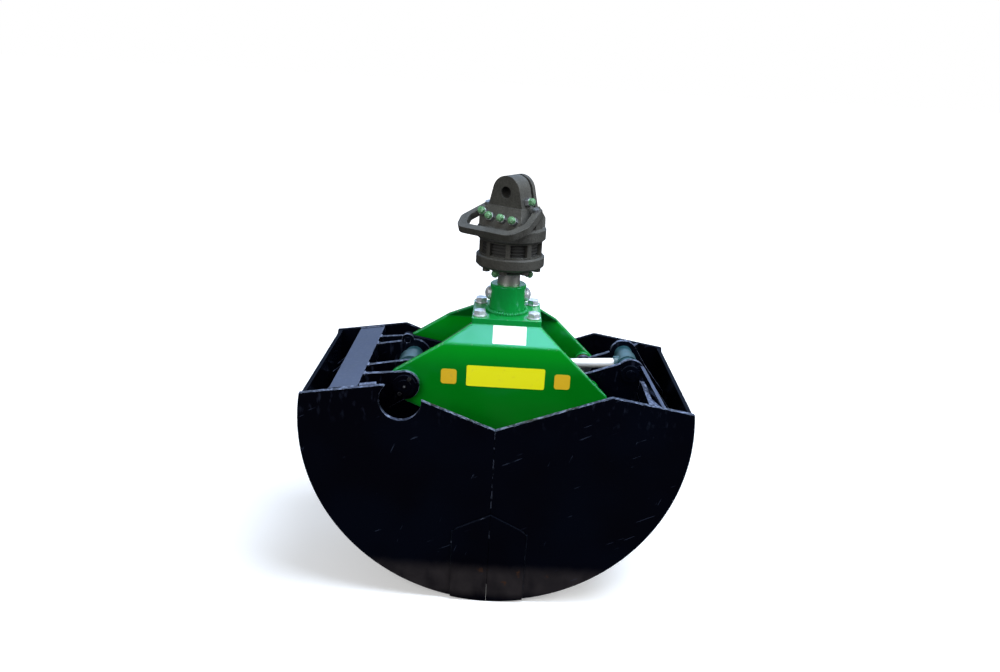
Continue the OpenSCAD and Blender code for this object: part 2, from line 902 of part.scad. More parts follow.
// A domed head that points along +X from the swivel's axis. It stands in a round seat that
// is cut flat into the collar's side, and its rim is a share of its height.
dome_rim_share = 0.25;
dome_seat_x = sqrt(collar_d * collar_d - dome_d * dome_d) / 2;
seat_gap = 0.5;
nut_bite = 7;
module dome() {
    rise = dome_h * (1 - dome_rim_share);
    r = (dome_d * dome_d / 4 + rise * rise) / (2 * rise);
    top = collar_d / 2 + dome_h - dome_seat_x;
    translate([dome_seat_x, 0, 0]) rotate([0, 90, 0]) rotate_extrude() intersection() {
        translate([0, top - r]) circle(r = r);
        square([dome_d / 2, top]);
    }
}

module cross_bolt() {
    color(zinc) on_rim() translate([axis_x, 0, cross_z]) {
        rod_x(cross_d, -dome_seat_x - over, 2 * dome_seat_x + over + nut_bite);
        mirror([1, 0, 0]) dome();
    }
}

module dome_nut() {
    color(zinc) on_rim() translate([axis_x, 0, cross_z]) difference() {
        dome();
        rod_x(cross_d, 0, dome_seat_x + nut_bite);
    }
}

// CYLINDER
// Drawn along +X from the base pin, then turned onto its axis.

module on_cylinder() {
    on_rim() translate([left_pivot[0], 0, left_pivot[1]]) rotate([0, -cyl_angle, 0]) children();
}

module rod_x(d, x, l) {
    translate([x, 0, 0]) rotate([0, 90, 0]) cylinder(d = d, h = l);
}

tube_d = tube_bore + 2 * tube_wall;
tube_bite = 4;
tube_start = base_eye_d / 2 - tube_bite;
module cylinder_tube() {
    color(cylinder_grey) on_cylinder() difference() {
        rod_x(tube_d, tube_start, gland_reach - gland_l - tube_start);
        rod_x(tube_bore, tube_start, gland_reach);
        pin_y([0, 0], base_eye_d, -base_eye_w, 2 * base_eye_w);
    }
}

base_bush_wall = 5;
base_bush_d = pin_d + 2 * base_bush_wall;
module base_eye() {
    color(cylinder_grey) on_cylinder() difference() {
        union() {
            pin_y([0, 0], base_eye_d, -base_eye_w / 2, base_eye_w);
            rod_x(tube_bore, 0, tube_start + tube_wall * 2);
        }
        pin_y([0, 0], base_bush_d, -base_eye_w, 2 * base_eye_w);
    }
}

module base_bush() {
    color(bronze) on_cylinder() ring_y([0, 0], base_bush_d, pin_d + 2 * pin_clear,
        -base_eye_w / 2, base_eye_w);
}

rod_clear = 0.06;
gland_spigot = 14;
gland_nose = 6;
gland_step = 4;
module gland() {
    color(cylinder_grey) on_cylinder() difference() {
        union() {
            rod_x(gland_d, gland_reach - gland_l, gland_l - gland_nose);
            rod_x(gland_d - 2 * gland_step, gland_reach - gland_nose, gland_nose);
            rod_x(tube_bore, gland_reach - gland_l - gland_spigot, gland_spigot);
        }
        rod_x(rod_d + 2 * rod_clear, 0, gland_reach + over);
    }
}

// Two ports on top of the tube, each closed by a hexagon plug
port_d = 22;
port_h = 12;
port_plug_af = 17;
port_plug_h = 7;
port_set = [45, 40];
port_places = [tube_start + port_set[0], gland_reach - gland_l - port_set[1]];
module cylinder_ports() {
    color(cylinder_grey) on_cylinder() for (x = port_places) difference() {
        union() {
            translate([x, 0, 0]) cylinder(d = port_d, h = tube_d / 2 + port_h);
            translate([x, 0, tube_d / 2 + port_h])
                cylinder(d = port_plug_af * hex_share, h = port_plug_h, $fn = 6);
        }
        rod_x(tube_d, 0, gland_reach);
    }
}

// With the bucket closed the piston stands just short of the gland's spigot.
// The rod has a thin end that holds the piston.
piston_l = 30;
piston_stop = 6;
piston_x = gland_reach - gland_l - gland_spigot - piston_stop - piston_l;
rod_tail = 14;
rod_end_d = 16;
rod_bite = 3;
module piston_rod() {
    color(chrome) on_cylinder() {
        rod_x(rod_d, piston_x + piston_l,
            cyl_length - rod_eye_d / 2 + rod_bite - piston_x - piston_l);
        rod_x(rod_end_d, piston_x - rod_tail, piston_l + rod_tail + over);
    }
}

// Seal grooves, placed as shares of the piston's length
piston_groove_shares = [0.2, 0.55];
piston_groove_w = 4;
piston_groove_deep = 3;
module piston() {
    color(worn_steel) on_cylinder() difference() {
        rod_x(tube_bore - 2 * rod_clear, piston_x, piston_l);
        rod_x(rod_end_d, piston_x - over, piston_l + 2 * over);
        for (share = piston_groove_shares) difference() {
            rod_x(tube_bore + over, piston_x + piston_l * share, piston_groove_w);
            rod_x(tube_bore - 2 * piston_groove_deep, piston_x, piston_l);
        }
    }
}

rod_neck = 6;
rod_neck_wall = 5;
module rod_eye() {
    color(cylinder_grey) on_cylinder() difference() {
        union() {
            pin_y([cyl_length, 0], rod_eye_d, -rod_eye_w / 2, rod_eye_w);
            rod_x(rod_d + 2 * rod_neck_wall, cyl_length - rod_eye_d / 2 - rod_neck, rod_eye_d / 2);
        }
        pin_y([cyl_length, 0], rod_pin_d + 2 * rod_play, -rod_eye_w, 2 * rod_eye_w);
        rod_x(rod_d, 0, cyl_length - rod_eye_d / 2 + rod_bite);
    }
}

// SYNCHRONISING LINK
// It runs from above the left pivot to below the right one, behind the cylinder, and makes
// the left shell turn as the right one does.

link_open_wall = 5.5;
link_open_r = link_pin_d / 2 + link_play + link_open_wall;
module sync_link() {
    y = inner_ear_out + side_clear;
    color(worn_steel) on_rim() difference() {
        union() {
            slab(y, link_t) bar_between(left_crank, right_crank, link_w);
            pin_y(left_crank, 2 * link_eye_r, y, link_t);
            pin_y(right_crank, 2 * link_open_r, y, link_t);
        }
        pin_y(left_crank, link_pin_d + 2 * pin_clear, y - over, link_t + 2 * over);
        pin_y(right_crank, link_pin_d + 2 * link_play, y - over, link_t + 2 * over);
    }
}

// SWIVEL
// The housing hangs from the lug. Its shaft turns in it and is held in the head's collar.

journal_d = 40;
nut_af = 46;
nut_h = 12;
hub_d = 84;
hub_h = 50;
bearing_d = 66;
bearing_h = 16;
top_bearing_d = 58;
seal_h = 7;
// Floor under the lower bearing
bearing_floor = 6;
hub_z = low_flange_z + bearing_floor + bearing_h;
journal_z = hub_z + hub_h;
nut_z = journal_z + bearing_h;
// The shaft ends above its nut, under the roof of the cavity
shaft_over_nut = 4;
cavity_over_nut = 8;
// End play of the shaft, and the gap round its hub
run = 0.3;
hub_gap = 1;
shaft_chamfer = 4;

module rotor_shaft() {
    shaft_end = cross_z - shaft_tail;
    shaft_top = nut_z + nut_h + shaft_over_nut;
    color(chrome) on_rim() translate([axis_x, 0, 0]) difference() {
        rotate_extrude() polygon([
            [0, shaft_end],
            [shaft_d / 2 - shaft_chamfer, shaft_end],
            [shaft_d / 2, shaft_end + shaft_chamfer],
            [shaft_d / 2, hub_z],
            [hub_d / 2, hub_z],
            [hub_d / 2, journal_z],
            [journal_d / 2, journal_z],
            [journal_d / 2, shaft_top],
            [0, shaft_top]]);
        translate([-shaft_d, 0, cross_z]) rotate([0, 90, 0]) cylinder(d = cross_d, h = 2 * shaft_d);
    }
}

module shaft_nut() {
    color(worn_steel) on_rim() translate([axis_x, 0, nut_z]) difference() {
        cylinder(d = nut_af * hex_share, h = nut_h, $fn = 6);
        translate([0, 0, -over]) cylinder(d = journal_d, h = nut_h + 2 * over);
    }
}

// Two bearings, each an outer ring in the housing
module swivel_bearings() {
    color(worn_steel) on_swivel() {
        ring_z(bearing_d, shaft_d + 2 * pin_clear, low_flange_z + bearing_floor - run, bearing_h);
        ring_z(top_bearing_d, journal_d + 2 * pin_clear, journal_z + run, bearing_h - 2 * run);
    }
}

module ring_z(d, bore, z, l) {
    translate([0, 0, z]) difference() {
        cylinder(d = d, h = l);
        translate([0, 0, -over]) cylinder(d = bore, h = l + 2 * over);
    }
}

seal_d = 60;
seal_step = 2;
module shaft_seal() {
    color(seal_black) on_swivel()
        ring_z(seal_d, shaft_d + 2 * pin_clear, neck_z + seal_step, seal_h);
}

// Chamfers of the castings, small and large
cast_edge = 3;
cast_bevel = 5;

module lower_flange() {
    color(cast_grey) on_swivel() difference() {
        rotate_extrude() polygon([
            [0, neck_z],
            [neck_d / 2 - cast_edge, neck_z],
            [neck_d / 2, neck_z + cast_edge],
            [neck_d / 2, low_flange_z],
            [low_flange_d / 2 - cast_bevel, low_flange_z],
            [low_flange_d / 2, low_flange_z + cast_bevel],
            [low_flange_d / 2, cage_z - cast_edge],
            [low_flange_d / 2 - cast_edge, cage_z],
            [0, cage_z]]);
        translate([0, 0, neck_z - over]) cylinder(d = shaft_d + 2 * hub_gap, h = low_flange_h + neck_h);
        translate([0, 0, neck_z + seal_step]) cylinder(d = seal_d, h = seal_h);
        translate([0, 0, low_flange_z + bearing_floor - run]) cylinder(d = bearing_d, h = low_flange_h);
        translate([0, 0, hub_z - run]) cylinder(d = hub_d + 2 * hub_gap, h = low_flange_h);
    }
}

// The cage is a ring of pillars between two rims
pillar_share = 0.22;
rim_h = 3;
module swivel_cage() {
    step = 360 / windows;
    color(cast_grey) on_swivel() difference() {
        ring_z(cage_d, cage_d - 2 * cage_wall, cage_z, cage_h);
        for (i = [0 : windows - 1]) rotate([0, 0, step * i])
            window_cut(step * (1 - pillar_share));
    }
}

module window_cut(span) {
    half = span / 2;
    r = cage_d;
    translate([0, 0, cage_z + rim_h]) linear_extrude(cage_h - 2 * rim_h) polygon([
        [0, 0],
        [r * cos(-half), r * sin(-half)],
        [r, 0],
        [r * cos(half), r * sin(half)]]);
}

// The core behind the windows, with grooves round it
core_grooves = 4;
groove_w = 2.5;
groove_deep = 3;
module stator_core() {
    d = cage_d - 2 * cage_wall;
    color(cast_grey) on_swivel() difference() {
        ring_z(d, hub_d + 2 * hub_gap, cage_z, cage_h);
        for (i = [1 : core_grooves])
            ring_z(d + over, d - 2 * groove_deep,
                cage_z + cage_h * i / (core_grooves + 1) - groove_w / 2, groove_w);
    }
}

// The top casting: drum, pedestal and hanger lug
pedestal_foot = [62, 56];
pedestal_top = [46, 34];
pedestal_margin = 3;
lug_foot = 44;
lug_front = -(lug_thick + lug_gap + lug_back) / 2;
lug_back_y = lug_front + lug_thick + lug_gap;
module hanger_head() {
    color(cast_grey) on_swivel() difference() {
        union() {
            rotate_extrude() polygon([
                [0, drum_z],
                [drum_d / 2 - cast_edge, drum_z],
                [drum_d / 2, drum_z + cast_edge],
                [drum_d / 2, deck_z - cast_bevel],
                [drum_d / 2 - cast_bevel, deck_z],
                [0, deck_z]]);
            pedestal();
            slab(lug_front, lug_thick) lug_2d();
            slab(lug_back_y, lug_back) lug_2d();
            guard_ears();
        }
        translate([0, 0, drum_z - over])
            cylinder(d = top_bearing_d, h = nut_z + nut_h + cavity_over_nut - drum_z);
        translate([0, 0, drum_z - over])
            cylinder(d = hub_d + 2 * hub_gap, h = journal_z + run - drum_z + over);
        pin_y([0, bore_z], hanger_d, -hanger_r * 2, hanger_r * 4);
        guard_bolt_holes();
    }
}

module pedestal() {
    intersection() {
        slab(-drum_d / 2, drum_d) polygon([
            [-pedestal_foot[0], deck_z - over],
            [pedestal_foot[0], deck_z - over],
            [pedestal_top[0], lug_z],
            [-pedestal_top[0], lug_z]]);
        translate([-drum_d / 2, 0, 0]) rotate([90, 0, 90]) linear_extrude(drum_d) polygon([
            [-pedestal_foot[1], deck_z - over],
            [pedestal_foot[1], deck_z - over],
            [pedestal_top[1], lug_z],
            [-pedestal_top[1], lug_z]]);
        translate([0, 0, deck_z - over])
            cylinder(d = drum_d - 2 * pedestal_margin, h = pedestal_h + 2 * over);
    }
}

module lug_2d() {
    p = [0, bore_z];
    dot(p, hanger_r);
    polygon([
        [-lug_foot, lug_z - over],
        touch([-lug_foot, lug_z], p, hanger_r, 1),
        p,
        touch([lug_foot, lug_z], p, hanger_r, -1),
        [lug_foot, lug_z - over]]);
}

// The hose guard is a bent bar in a sloping plane, bolted to two ears on the drum
ear_x = 62;
ear_w = 16;
ear_l = 26;
ear_h = 30;
module guard_ears() {
    difference() {
        for (x = [-ear_x, ear_x]) translate([x - ear_w / 2, -ear_l / 2, deck_z - drum_h / 2])
            cube([ear_w, ear_l, ear_h + drum_h / 2]);
        on_guard() translate([-drum_d, -drum_d, 0]) cube([2 * drum_d, 2 * drum_d, ear_h]);
    }
}

guard_drop = 6;
guard_root_z = deck_z + ear_h - guard_drop;
module on_guard() {
    translate([0, 0, guard_root_z]) rotate([guard_slope, 0, 0]) children();
}

module hose_guard() {
    color(cast_grey) on_swivel() difference() {
        on_guard() linear_extrude(guard_t) difference() {
            guard_bar_2d(0);
            guard_bar_2d(guard_w);
        }
        guard_bolt_holes();
    }
}

// Outline of the guard, drawn in by a margin. Its corners lie at shares of its reach and width.
guard_knee_share = 0.6;
guard_nose_share = 0.78;
guard_corner_r = 25;
module guard_bar_2d(m) {
    h = guard_half - m;
    g = guard_reach / cos(guard_slope) - m;
    root = ear_x + ear_w / 2 - m;
    polygon(outline([
        [-root, ear_l / 2 + (m > 0 ? over : 0), 0],
        [-h, -g * guard_knee_share, guard_corner_r - m / 2],
        [-h * guard_nose_share, -g, guard_corner_r - m / 2],
        [h * guard_nose_share, -g, guard_corner_r - m / 2],
        [h, -g * guard_knee_share, guard_corner_r - m / 2],
        [root, ear_l / 2 + (m > 0 ? over : 0), 0]]));
}

guard_bolt_d = 8;
guard_bolt_af = 13;
guard_bolt_h = 5.5;
module guard_bolt_holes() {
    for (x = [-ear_x, ear_x]) on_guard() translate([x, 0, -ear_h])
        cylinder(d = guard_bolt_d, h = ear_h + guard_t + over);
}

module guard_bolts() {
    color(zinc) on_swivel() for (x = [-ear_x, ear_x]) on_guard() translate([x, 0, 0]) {
        translate([0, 0, -ear_h / 2]) cylinder(d = guard_bolt_d, h = ear_h / 2 + guard_t);
        translate([0, 0, guard_t]) cylinder(d = guard_bolt_af * hex_share, h = guard_bolt_h, $fn = 6);
    }
}

// Hexagon heads under the lower flange
housing_bolt_count = 8;
housing_bolt_r = 60;
housing_bolt_af = 16;
housing_bolt_h = 8;
module housing_bolts() {
    color(cast_grey) on_swivel() for (i = [0 : housing_bolt_count - 1])
        rotate([0, 0, 360 * (i + 0.5) / housing_bolt_count])
            translate([housing_bolt_r, 0, low_flange_z - housing_bolt_h])
                cylinder(d = housing_bolt_af * hex_share, h = housing_bolt_h, $fn = 6);
}

// Ports: four on the sloping front of the pedestal, one on the lug's side, two at the neck.
fitting_af = 17;
fitting_l = 9;
// Length of a fitting that reaches into the casting
fitting_root = 4;
cap_d = 16;
cap_l = 11;
cap_rim = 2;
cap_step = 2.5;
pedestal_tilt = atan2(pedestal_foot[1] - pedestal_top[1], pedestal_h);
// The front ports as distances from the middle and shares of the pedestal's height
front_ports = [[-45, 0.6], [-23, 0.42], [8, 0.4], [38, 0.38]];
// The lug's port stands off the lug's round and leans up, those of the neck lean down
lug_port = [6, 12];
lug_port_tilt = 76;
neck_port_turns = [-90, 0];
neck_port_tilt = 110;
module at_ports() {
    for (p = front_ports) {
        y = -pedestal_foot[1] + (pedestal_foot[1] - pedestal_top[1]) * p[1];
        translate([p[0], y, deck_z + pedestal_h * p[1]]) rotate([90 - pedestal_tilt, 0, 0])
            children();
    }
    translate([hanger_r + lug_port[0], lug_front + lug_thick / 2, lug_z + lug_port[1]])
        rotate([0, lug_port_tilt, 0]) children();
    for (turn = neck_port_turns) rotate([0, 0, turn]) translate([neck_d / 2, 0, neck_z + neck_h / 2])
        rotate([0, neck_port_tilt, 0]) children();
}

module port_fittings() {
    color(zinc) on_swivel() difference() {
        at_ports() translate([0, 0, -fitting_root])
            cylinder(d = fitting_af * hex_share, h = fitting_l + fitting_root, $fn = 6);
        fitting_seat();
    }
}

// What the fittings stand on, cut out of their feet
module fitting_seat() {
    pedestal();
    slab(lug_front, lug_thick) lug_2d();
    translate([0, 0, neck_z]) cylinder(d = neck_d, h = neck_h);
    translate([0, 0, low_flange_z]) cylinder(d = low_flange_d, h = low_flange_h);
}

module port_caps() {
    color(cap_green) on_swivel() at_ports() translate([0, 0, fitting_l]) {
        cylinder(d = cap_d, h = cap_l - cap_rim);
        cylinder(d = cap_d - 2 * cap_step, h = cap_l);
    }
}

// Shells as nodes
module left_front_side() { side_plate(true, true, true); }
module left_rear_side() { side_plate(false, true, false); }
module right_front_side() { side_plate(true, false, false); }
module right_rear_side() { side_plate(false, false, false); }

hanger_head();
swivel_cage();
stator_core();
lower_flange();
hose_guard();
guard_bolts();
housing_bolts();
port_fittings();
port_caps();
swivel_bearings();
shaft_seal();
rotor_shaft();
shaft_nut();
cross_bolt();
dome_nut();
flange_collar();
flange_bolts();
flange_nuts();
head_top_plate();
head_plate(true);  // head_front_plate
head_plate(false);  // head_rear_plate
left_bosses();
right_bosses();
head_bushes();
left_front_side();
left_rear_side();
wrap(true);  // left_wrap
lip(true);  // left_lip
left_cross_bar();
left_inner_ribs();
left_outer_ribs();
edge_strips(true);  // left_edge_strips
left_pivot_pin();
ear_collars();
collar_bolts();
grease_nipples();
eye_spacers();
left_link_pin();
right_front_side();
right_rear_side();
wrap(false);  // right_wrap
lip(false);  // right_lip
right_cross_bar();
right_ribs();
right_braces();
edge_strips(false);  // right_edge_strips
right_pivot_pins();
rod_pin();
rod_pin_collars();
rod_spacers();
right_link_pin();
cylinder_tube();
base_eye();
base_bush();
gland();
cylinder_ports();
piston_rod();
piston();
rod_eye();
sync_link();
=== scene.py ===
# %% [markdown]
# # Dressing a clamshell bucket
#
# The bucket comes in as finished solids: plates, pins, a cylinder and a swivel, each already at
# its real size and place. What is left for Blender is how they look: glossy black paint that is
# worn along the plates' edges, green paint on the folded head, rough castings on the swivel,
# zinc on the bolts. Some things are too fine for the solids and are modelled here: the weld
# beads and tacks, the guard bars behind the seam, two small gussets, the bevelled heads of the
# bolts, the caps on the ports and the plain panels stuck on the head.
#
# Lengths are in metres, in the frame of the solids: +Z is up and -Y is the front. Places on the
# workshop drawing, which comes next, are in millimetres, and so is the table of the caps.

# %% Load the solids
import math

import bpy
from mathutils import Matrix, Vector


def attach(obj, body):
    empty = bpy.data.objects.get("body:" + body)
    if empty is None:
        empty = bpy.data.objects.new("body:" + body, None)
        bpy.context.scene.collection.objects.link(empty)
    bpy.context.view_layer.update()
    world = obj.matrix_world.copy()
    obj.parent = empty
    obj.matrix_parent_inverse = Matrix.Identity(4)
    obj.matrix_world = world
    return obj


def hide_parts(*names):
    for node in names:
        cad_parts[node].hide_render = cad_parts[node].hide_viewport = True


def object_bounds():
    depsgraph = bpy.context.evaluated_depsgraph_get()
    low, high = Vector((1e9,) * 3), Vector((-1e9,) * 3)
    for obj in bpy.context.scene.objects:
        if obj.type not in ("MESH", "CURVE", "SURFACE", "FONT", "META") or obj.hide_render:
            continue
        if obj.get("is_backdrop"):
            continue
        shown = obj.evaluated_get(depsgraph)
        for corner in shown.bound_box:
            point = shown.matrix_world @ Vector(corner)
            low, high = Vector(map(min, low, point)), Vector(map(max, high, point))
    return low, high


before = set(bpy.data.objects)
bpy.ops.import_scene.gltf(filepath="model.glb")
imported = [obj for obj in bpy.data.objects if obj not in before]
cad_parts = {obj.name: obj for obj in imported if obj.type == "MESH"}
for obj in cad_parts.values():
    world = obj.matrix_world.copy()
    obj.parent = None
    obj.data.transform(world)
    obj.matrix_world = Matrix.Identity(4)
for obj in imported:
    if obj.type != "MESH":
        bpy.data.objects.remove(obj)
solid_low, solid_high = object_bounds()
print("solids:", len(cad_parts), "box", [round(v, 3) for v in (*solid_low, *solid_high)])

# %% [markdown]
# ## A drawing frame for the shells
#
# The shells and the head are drawn from the middle of their rim, in millimetres, while the
# model's own origin is the bore that the bucket hangs from. One small function turns a place on
# the drawing into a place in the model, so that the numbers below can be read as on a workshop
# drawing.

# %% From the drawing to the model
AXIS_X = 11.0
RIM_TO_BORE = 405.0


def on_drawing(x, y, z):
    return Vector(((x - AXIS_X) / 1000, y / 1000, (z - RIM_TO_BORE) / 1000))


print("pivots at", on_drawing(-200, 0, -4), on_drawing(200, 0, -4))

# %% [markdown]
# ## Camera
#
# The picture is taken from the front, slightly from above, with a short lens and the camera
# turned a little on its own axis. Three turns in a fixed order give the direction: a pitch down,
# a small yaw and a roll. The columns of the camera's matrix are its own right, up and back. A
# Track To constraint could aim the camera as well, but it holds the horizon level, and this
# picture is tilted by three degrees.

# %% Place the camera
IMAGE_WIDTH = 1000
FOCAL_PIXELS = 854.8
SENSOR_WIDTH = 36.0
CAMERA_SPOT = (-8.8, -1834.3, 689.2)
PITCH, YAW, ROLL = 0.3222, -0.0042, 0.0586

level = Matrix(((1, 0, 0), (0, 0, -1), (0, 1, 0)))
pitch_turn = Matrix(((1, 0, 0),
                     (0, math.cos(PITCH), -math.sin(PITCH)),
                     (0, math.sin(PITCH), math.cos(PITCH))))
yaw_turn = Matrix(((math.cos(YAW), 0, math.sin(YAW)),
                   (0, 1, 0),
                   (-math.sin(YAW), 0, math.cos(YAW))))
roll_turn = Matrix(((math.cos(ROLL), -math.sin(ROLL), 0),
                    (math.sin(ROLL), math.cos(ROLL), 0),
                    (0, 0, 1)))
right, down, ahead = roll_turn @ pitch_turn @ yaw_turn @ level

bpy.ops.object.camera_add()
camera = bpy.context.object
camera.name = "camera"
camera.matrix_world = Matrix.Translation(on_drawing(*CAMERA_SPOT)) @ Matrix(
    (right, -down, -ahead)).transposed().to_4x4()
camera.data.sensor_width = SENSOR_WIDTH
camera.data.lens = FOCAL_PIXELS * SENSOR_WIDTH / IMAGE_WIDTH
bpy.context.scene.camera = camera
print("lens", round(camera.data.lens, 2), "mm")

# %% [markdown]
# ## Shader maths as plain Python
#
# Paint and metal are described with masks: where dust lies, where an edge is worn, where a
# scratch runs. Masks are sums and products of noise. Each Math node could be added and linked by
# hand, but a mask would then take ten lines and hide its meaning. So a small class wraps a socket
# and lets Python's operators add the nodes.

# %% A wire that takes part in sums
class Wire:
    """An output socket that takes part in plain maths."""

    def __init__(self, finish, socket):
        self.finish, self.socket = finish, socket

    def maths(self, operation, *values):
        return self.finish.node("ShaderNodeMath", {"operation": operation},
                                dict(enumerate(values)))

    def __add__(self, other):
        return self.maths("ADD", self, other)

    def __mul__(self, other):
        return self.maths("MULTIPLY", self, other)

    def __sub__(self, other):
        return self.maths("SUBTRACT", self, other)

    def __rsub__(self, other):
        return self.maths("SUBTRACT", other, self)

    def ease(self, low, high):
        """0 below low, 1 above high, and a smooth rise between them."""
        return self.finish.node("ShaderNodeMapRange", {"interpolation_type": "SMOOTHSTEP"},
                                {"Value": self, "From Min": low, "From Max": high})


print("a wire adds, subtracts and multiplies")

# %% [markdown]
# A second class holds the material while it is made. One method, `node`, adds any node with its
# settings and values, and the others are named after what a painter would ask for: noise of a
# certain grain, a mix of two colours, the edges, what faces up. All of them start from Object
# coordinates, which stay with the piece when it moves.

# %% A finish and what it is made of
class Finish:
    """A material in the making: its node tree and the shader at its end."""

    def __init__(self, name, **sockets):
        self.material = bpy.data.materials.new(name)
        self.material.use_nodes = True
        self.tree = self.material.node_tree
        self.shader = self.tree.nodes["Principled BSDF"]
        self.set(**sockets)

    def node(self, kind, settings=None, values=None, output=0):
        made = self.tree.nodes.new(kind)
        for key, value in (settings or {}).items():
            setattr(made, key, value)
        for key, value in (values or {}).items():
            self.plug(value, made.inputs[key])
        return Wire(self, made.outputs[output])

    def plug(self, value, socket):
        if isinstance(value, Wire):
            self.tree.links.new(value.socket, socket)
        else:
            socket.default_value = value

    def set(self, **sockets):
        for key, value in sockets.items():
            self.plug(value, self.shader.inputs[key.replace("_", " ")])

    def place(self, stretch=(1, 1, 1), turn=(0, 0, 0)):
        spot = self.node("ShaderNodeTexCoord", output="Object")
        turned = self.node("ShaderNodeMapping", {}, {"Vector": spot, "Rotation": turn})
        return self.node("ShaderNodeMapping", {}, {"Vector": turned, "Scale": stretch})

    def noise(self, grain, detail=2.0, **place):
        """Soft noise from 0 to 1, whose patches are about grain metres across."""
        return self.node("ShaderNodeTexNoise", {},
                         {"Vector": self.place(**place), "Scale": 1 / grain, "Detail": detail})

    def mix(self, mask, first, second):
        return self.node("ShaderNodeMix", {"data_type": "RGBA"}, {0: mask, 6: first, 7: second}, 2)

    def height(self):
        """Height in the model, in metres, from the origin up."""
        spot = self.node("ShaderNodeTexCoord", output="Object")
        return self.node("ShaderNodeSeparateXYZ", {}, {"Vector": spot}, 2)

    def facing_up(self):
        """1 where the surface looks up, -1 where it looks down."""
        normal = self.node("ShaderNodeTexCoord", output="Normal")
        return self.node("ShaderNodeSeparateXYZ", {}, {"Vector": normal}, 2)

    def soft_edges(self, radius, samples=4):
        return self.node("ShaderNodeBevel", {"samples": samples}, {"Radius": radius})

    def edges(self, rounded):
        """About 0.3 right on a square edge, falling to 0 on the flat beside it."""
        flat = self.node("ShaderNodeNewGeometry", output="True Normal")
        return 1 - self.node("ShaderNodeVectorMath", {"operation": "DOT_PRODUCT"},
                             {0: rounded, 1: flat}, "Value")

    def bumps(self, relief, depth, rounded=None):
        """Relief in the surface, depth metres deep, on top of rounded edges if they are given."""
        values = {"Height": relief, "Distance": depth, "Strength": 1.0}
        if rounded is not None:
            values["Normal"] = rounded
        self.set(Normal=self.node("ShaderNodeBump", {}, values))


def tint(red, green, blue):
    return (red, green, blue, 1.0)


print("finish helpers are ready")

# %% [markdown]
# ## Black paint of the shells
#
# The shells are brushed and sprayed with a black gloss that has a faint blue cast. Real plates
# are never flat: wide, shallow waves make their reflections swim. The paint is rubbed off along
# the edges of the plates, where bare steel shows, tinted blue as a painted reflection of the sky.
# What faces up is painted a lighter blue-grey, partly dried dust and partly a painted sheen of the
# sky, and the bare spots there are partly wear and partly painted glints. A low band near the
# cutting edge is painted brown as a reflection of the ground, rough and bumpy like caked earth and
# with rust in it; just above the cutting edge it stops and the plate stays black. Stones leave
# thin scratches. Each of these is one mask.
#
# Wear can be painted by hand on a picture that is wrapped round the piece. Here noise and the
# Bevel node place it, because they follow any shape, need no unwrapping and let one recipe serve
# every plate. The Bevel node rounds the edges for the light only, and comparing it with the flat
# normal tells where an edge is.
#
# A scratch set is its turn in radians and its spacing in metres. Each pair after them holds the
# two heights in metres between which a mask rises.

# %% Colours, heights and scratches
BLACK = tint(0.0007, 0.0005, 0.0017)
BLACK_BLUE = tint(0.0008, 0.0013, 0.0040)
# A blue-grey of dried dust, also painted on what faces up as a sheen of the sky.
DUST_AND_SKY_SHEEN = tint(0.048, 0.060, 0.102)
# Brown of caked earth, also painted in a low band on the shells as the reflection of the ground.
EARTH_AND_GROUND_REFLECTION = tint(0.031, 0.026, 0.0265)
RUST = tint(0.060, 0.028, 0.014)
# Bare steel, tinted the blue of the sky as a painted reflection.
BARE_PLATE_SKY_BLUE = tint(0.38, 0.45, 0.64)
SKY_TINT = tint(0.50, 0.66, 1.0)
SCRATCH_SETS = ((0.45, 0.004), (1.2, 0.005))
BAND_TOP = (-0.812, -0.776)
BAND_FOOT = (-0.873, -0.848)
BRUSH_MARKS = (-0.475, -0.415)


def scratches(finish, turn, spacing):
    """Thin streaks along one slanting direction."""
    streaks = finish.noise(spacing, 1.0, stretch=(0.05, 1.0, 1.0), turn=(0, turn, 0))
    broken = finish.noise(0.06, 2.0, turn=(0, turn, 0.3))
    return streaks.ease(0.725, 0.745) * broken.ease(0.54, 0.60)


print("earth and painted ground reflection lie between the heights", BAND_FOOT[0], "and", BAND_TOP[1])
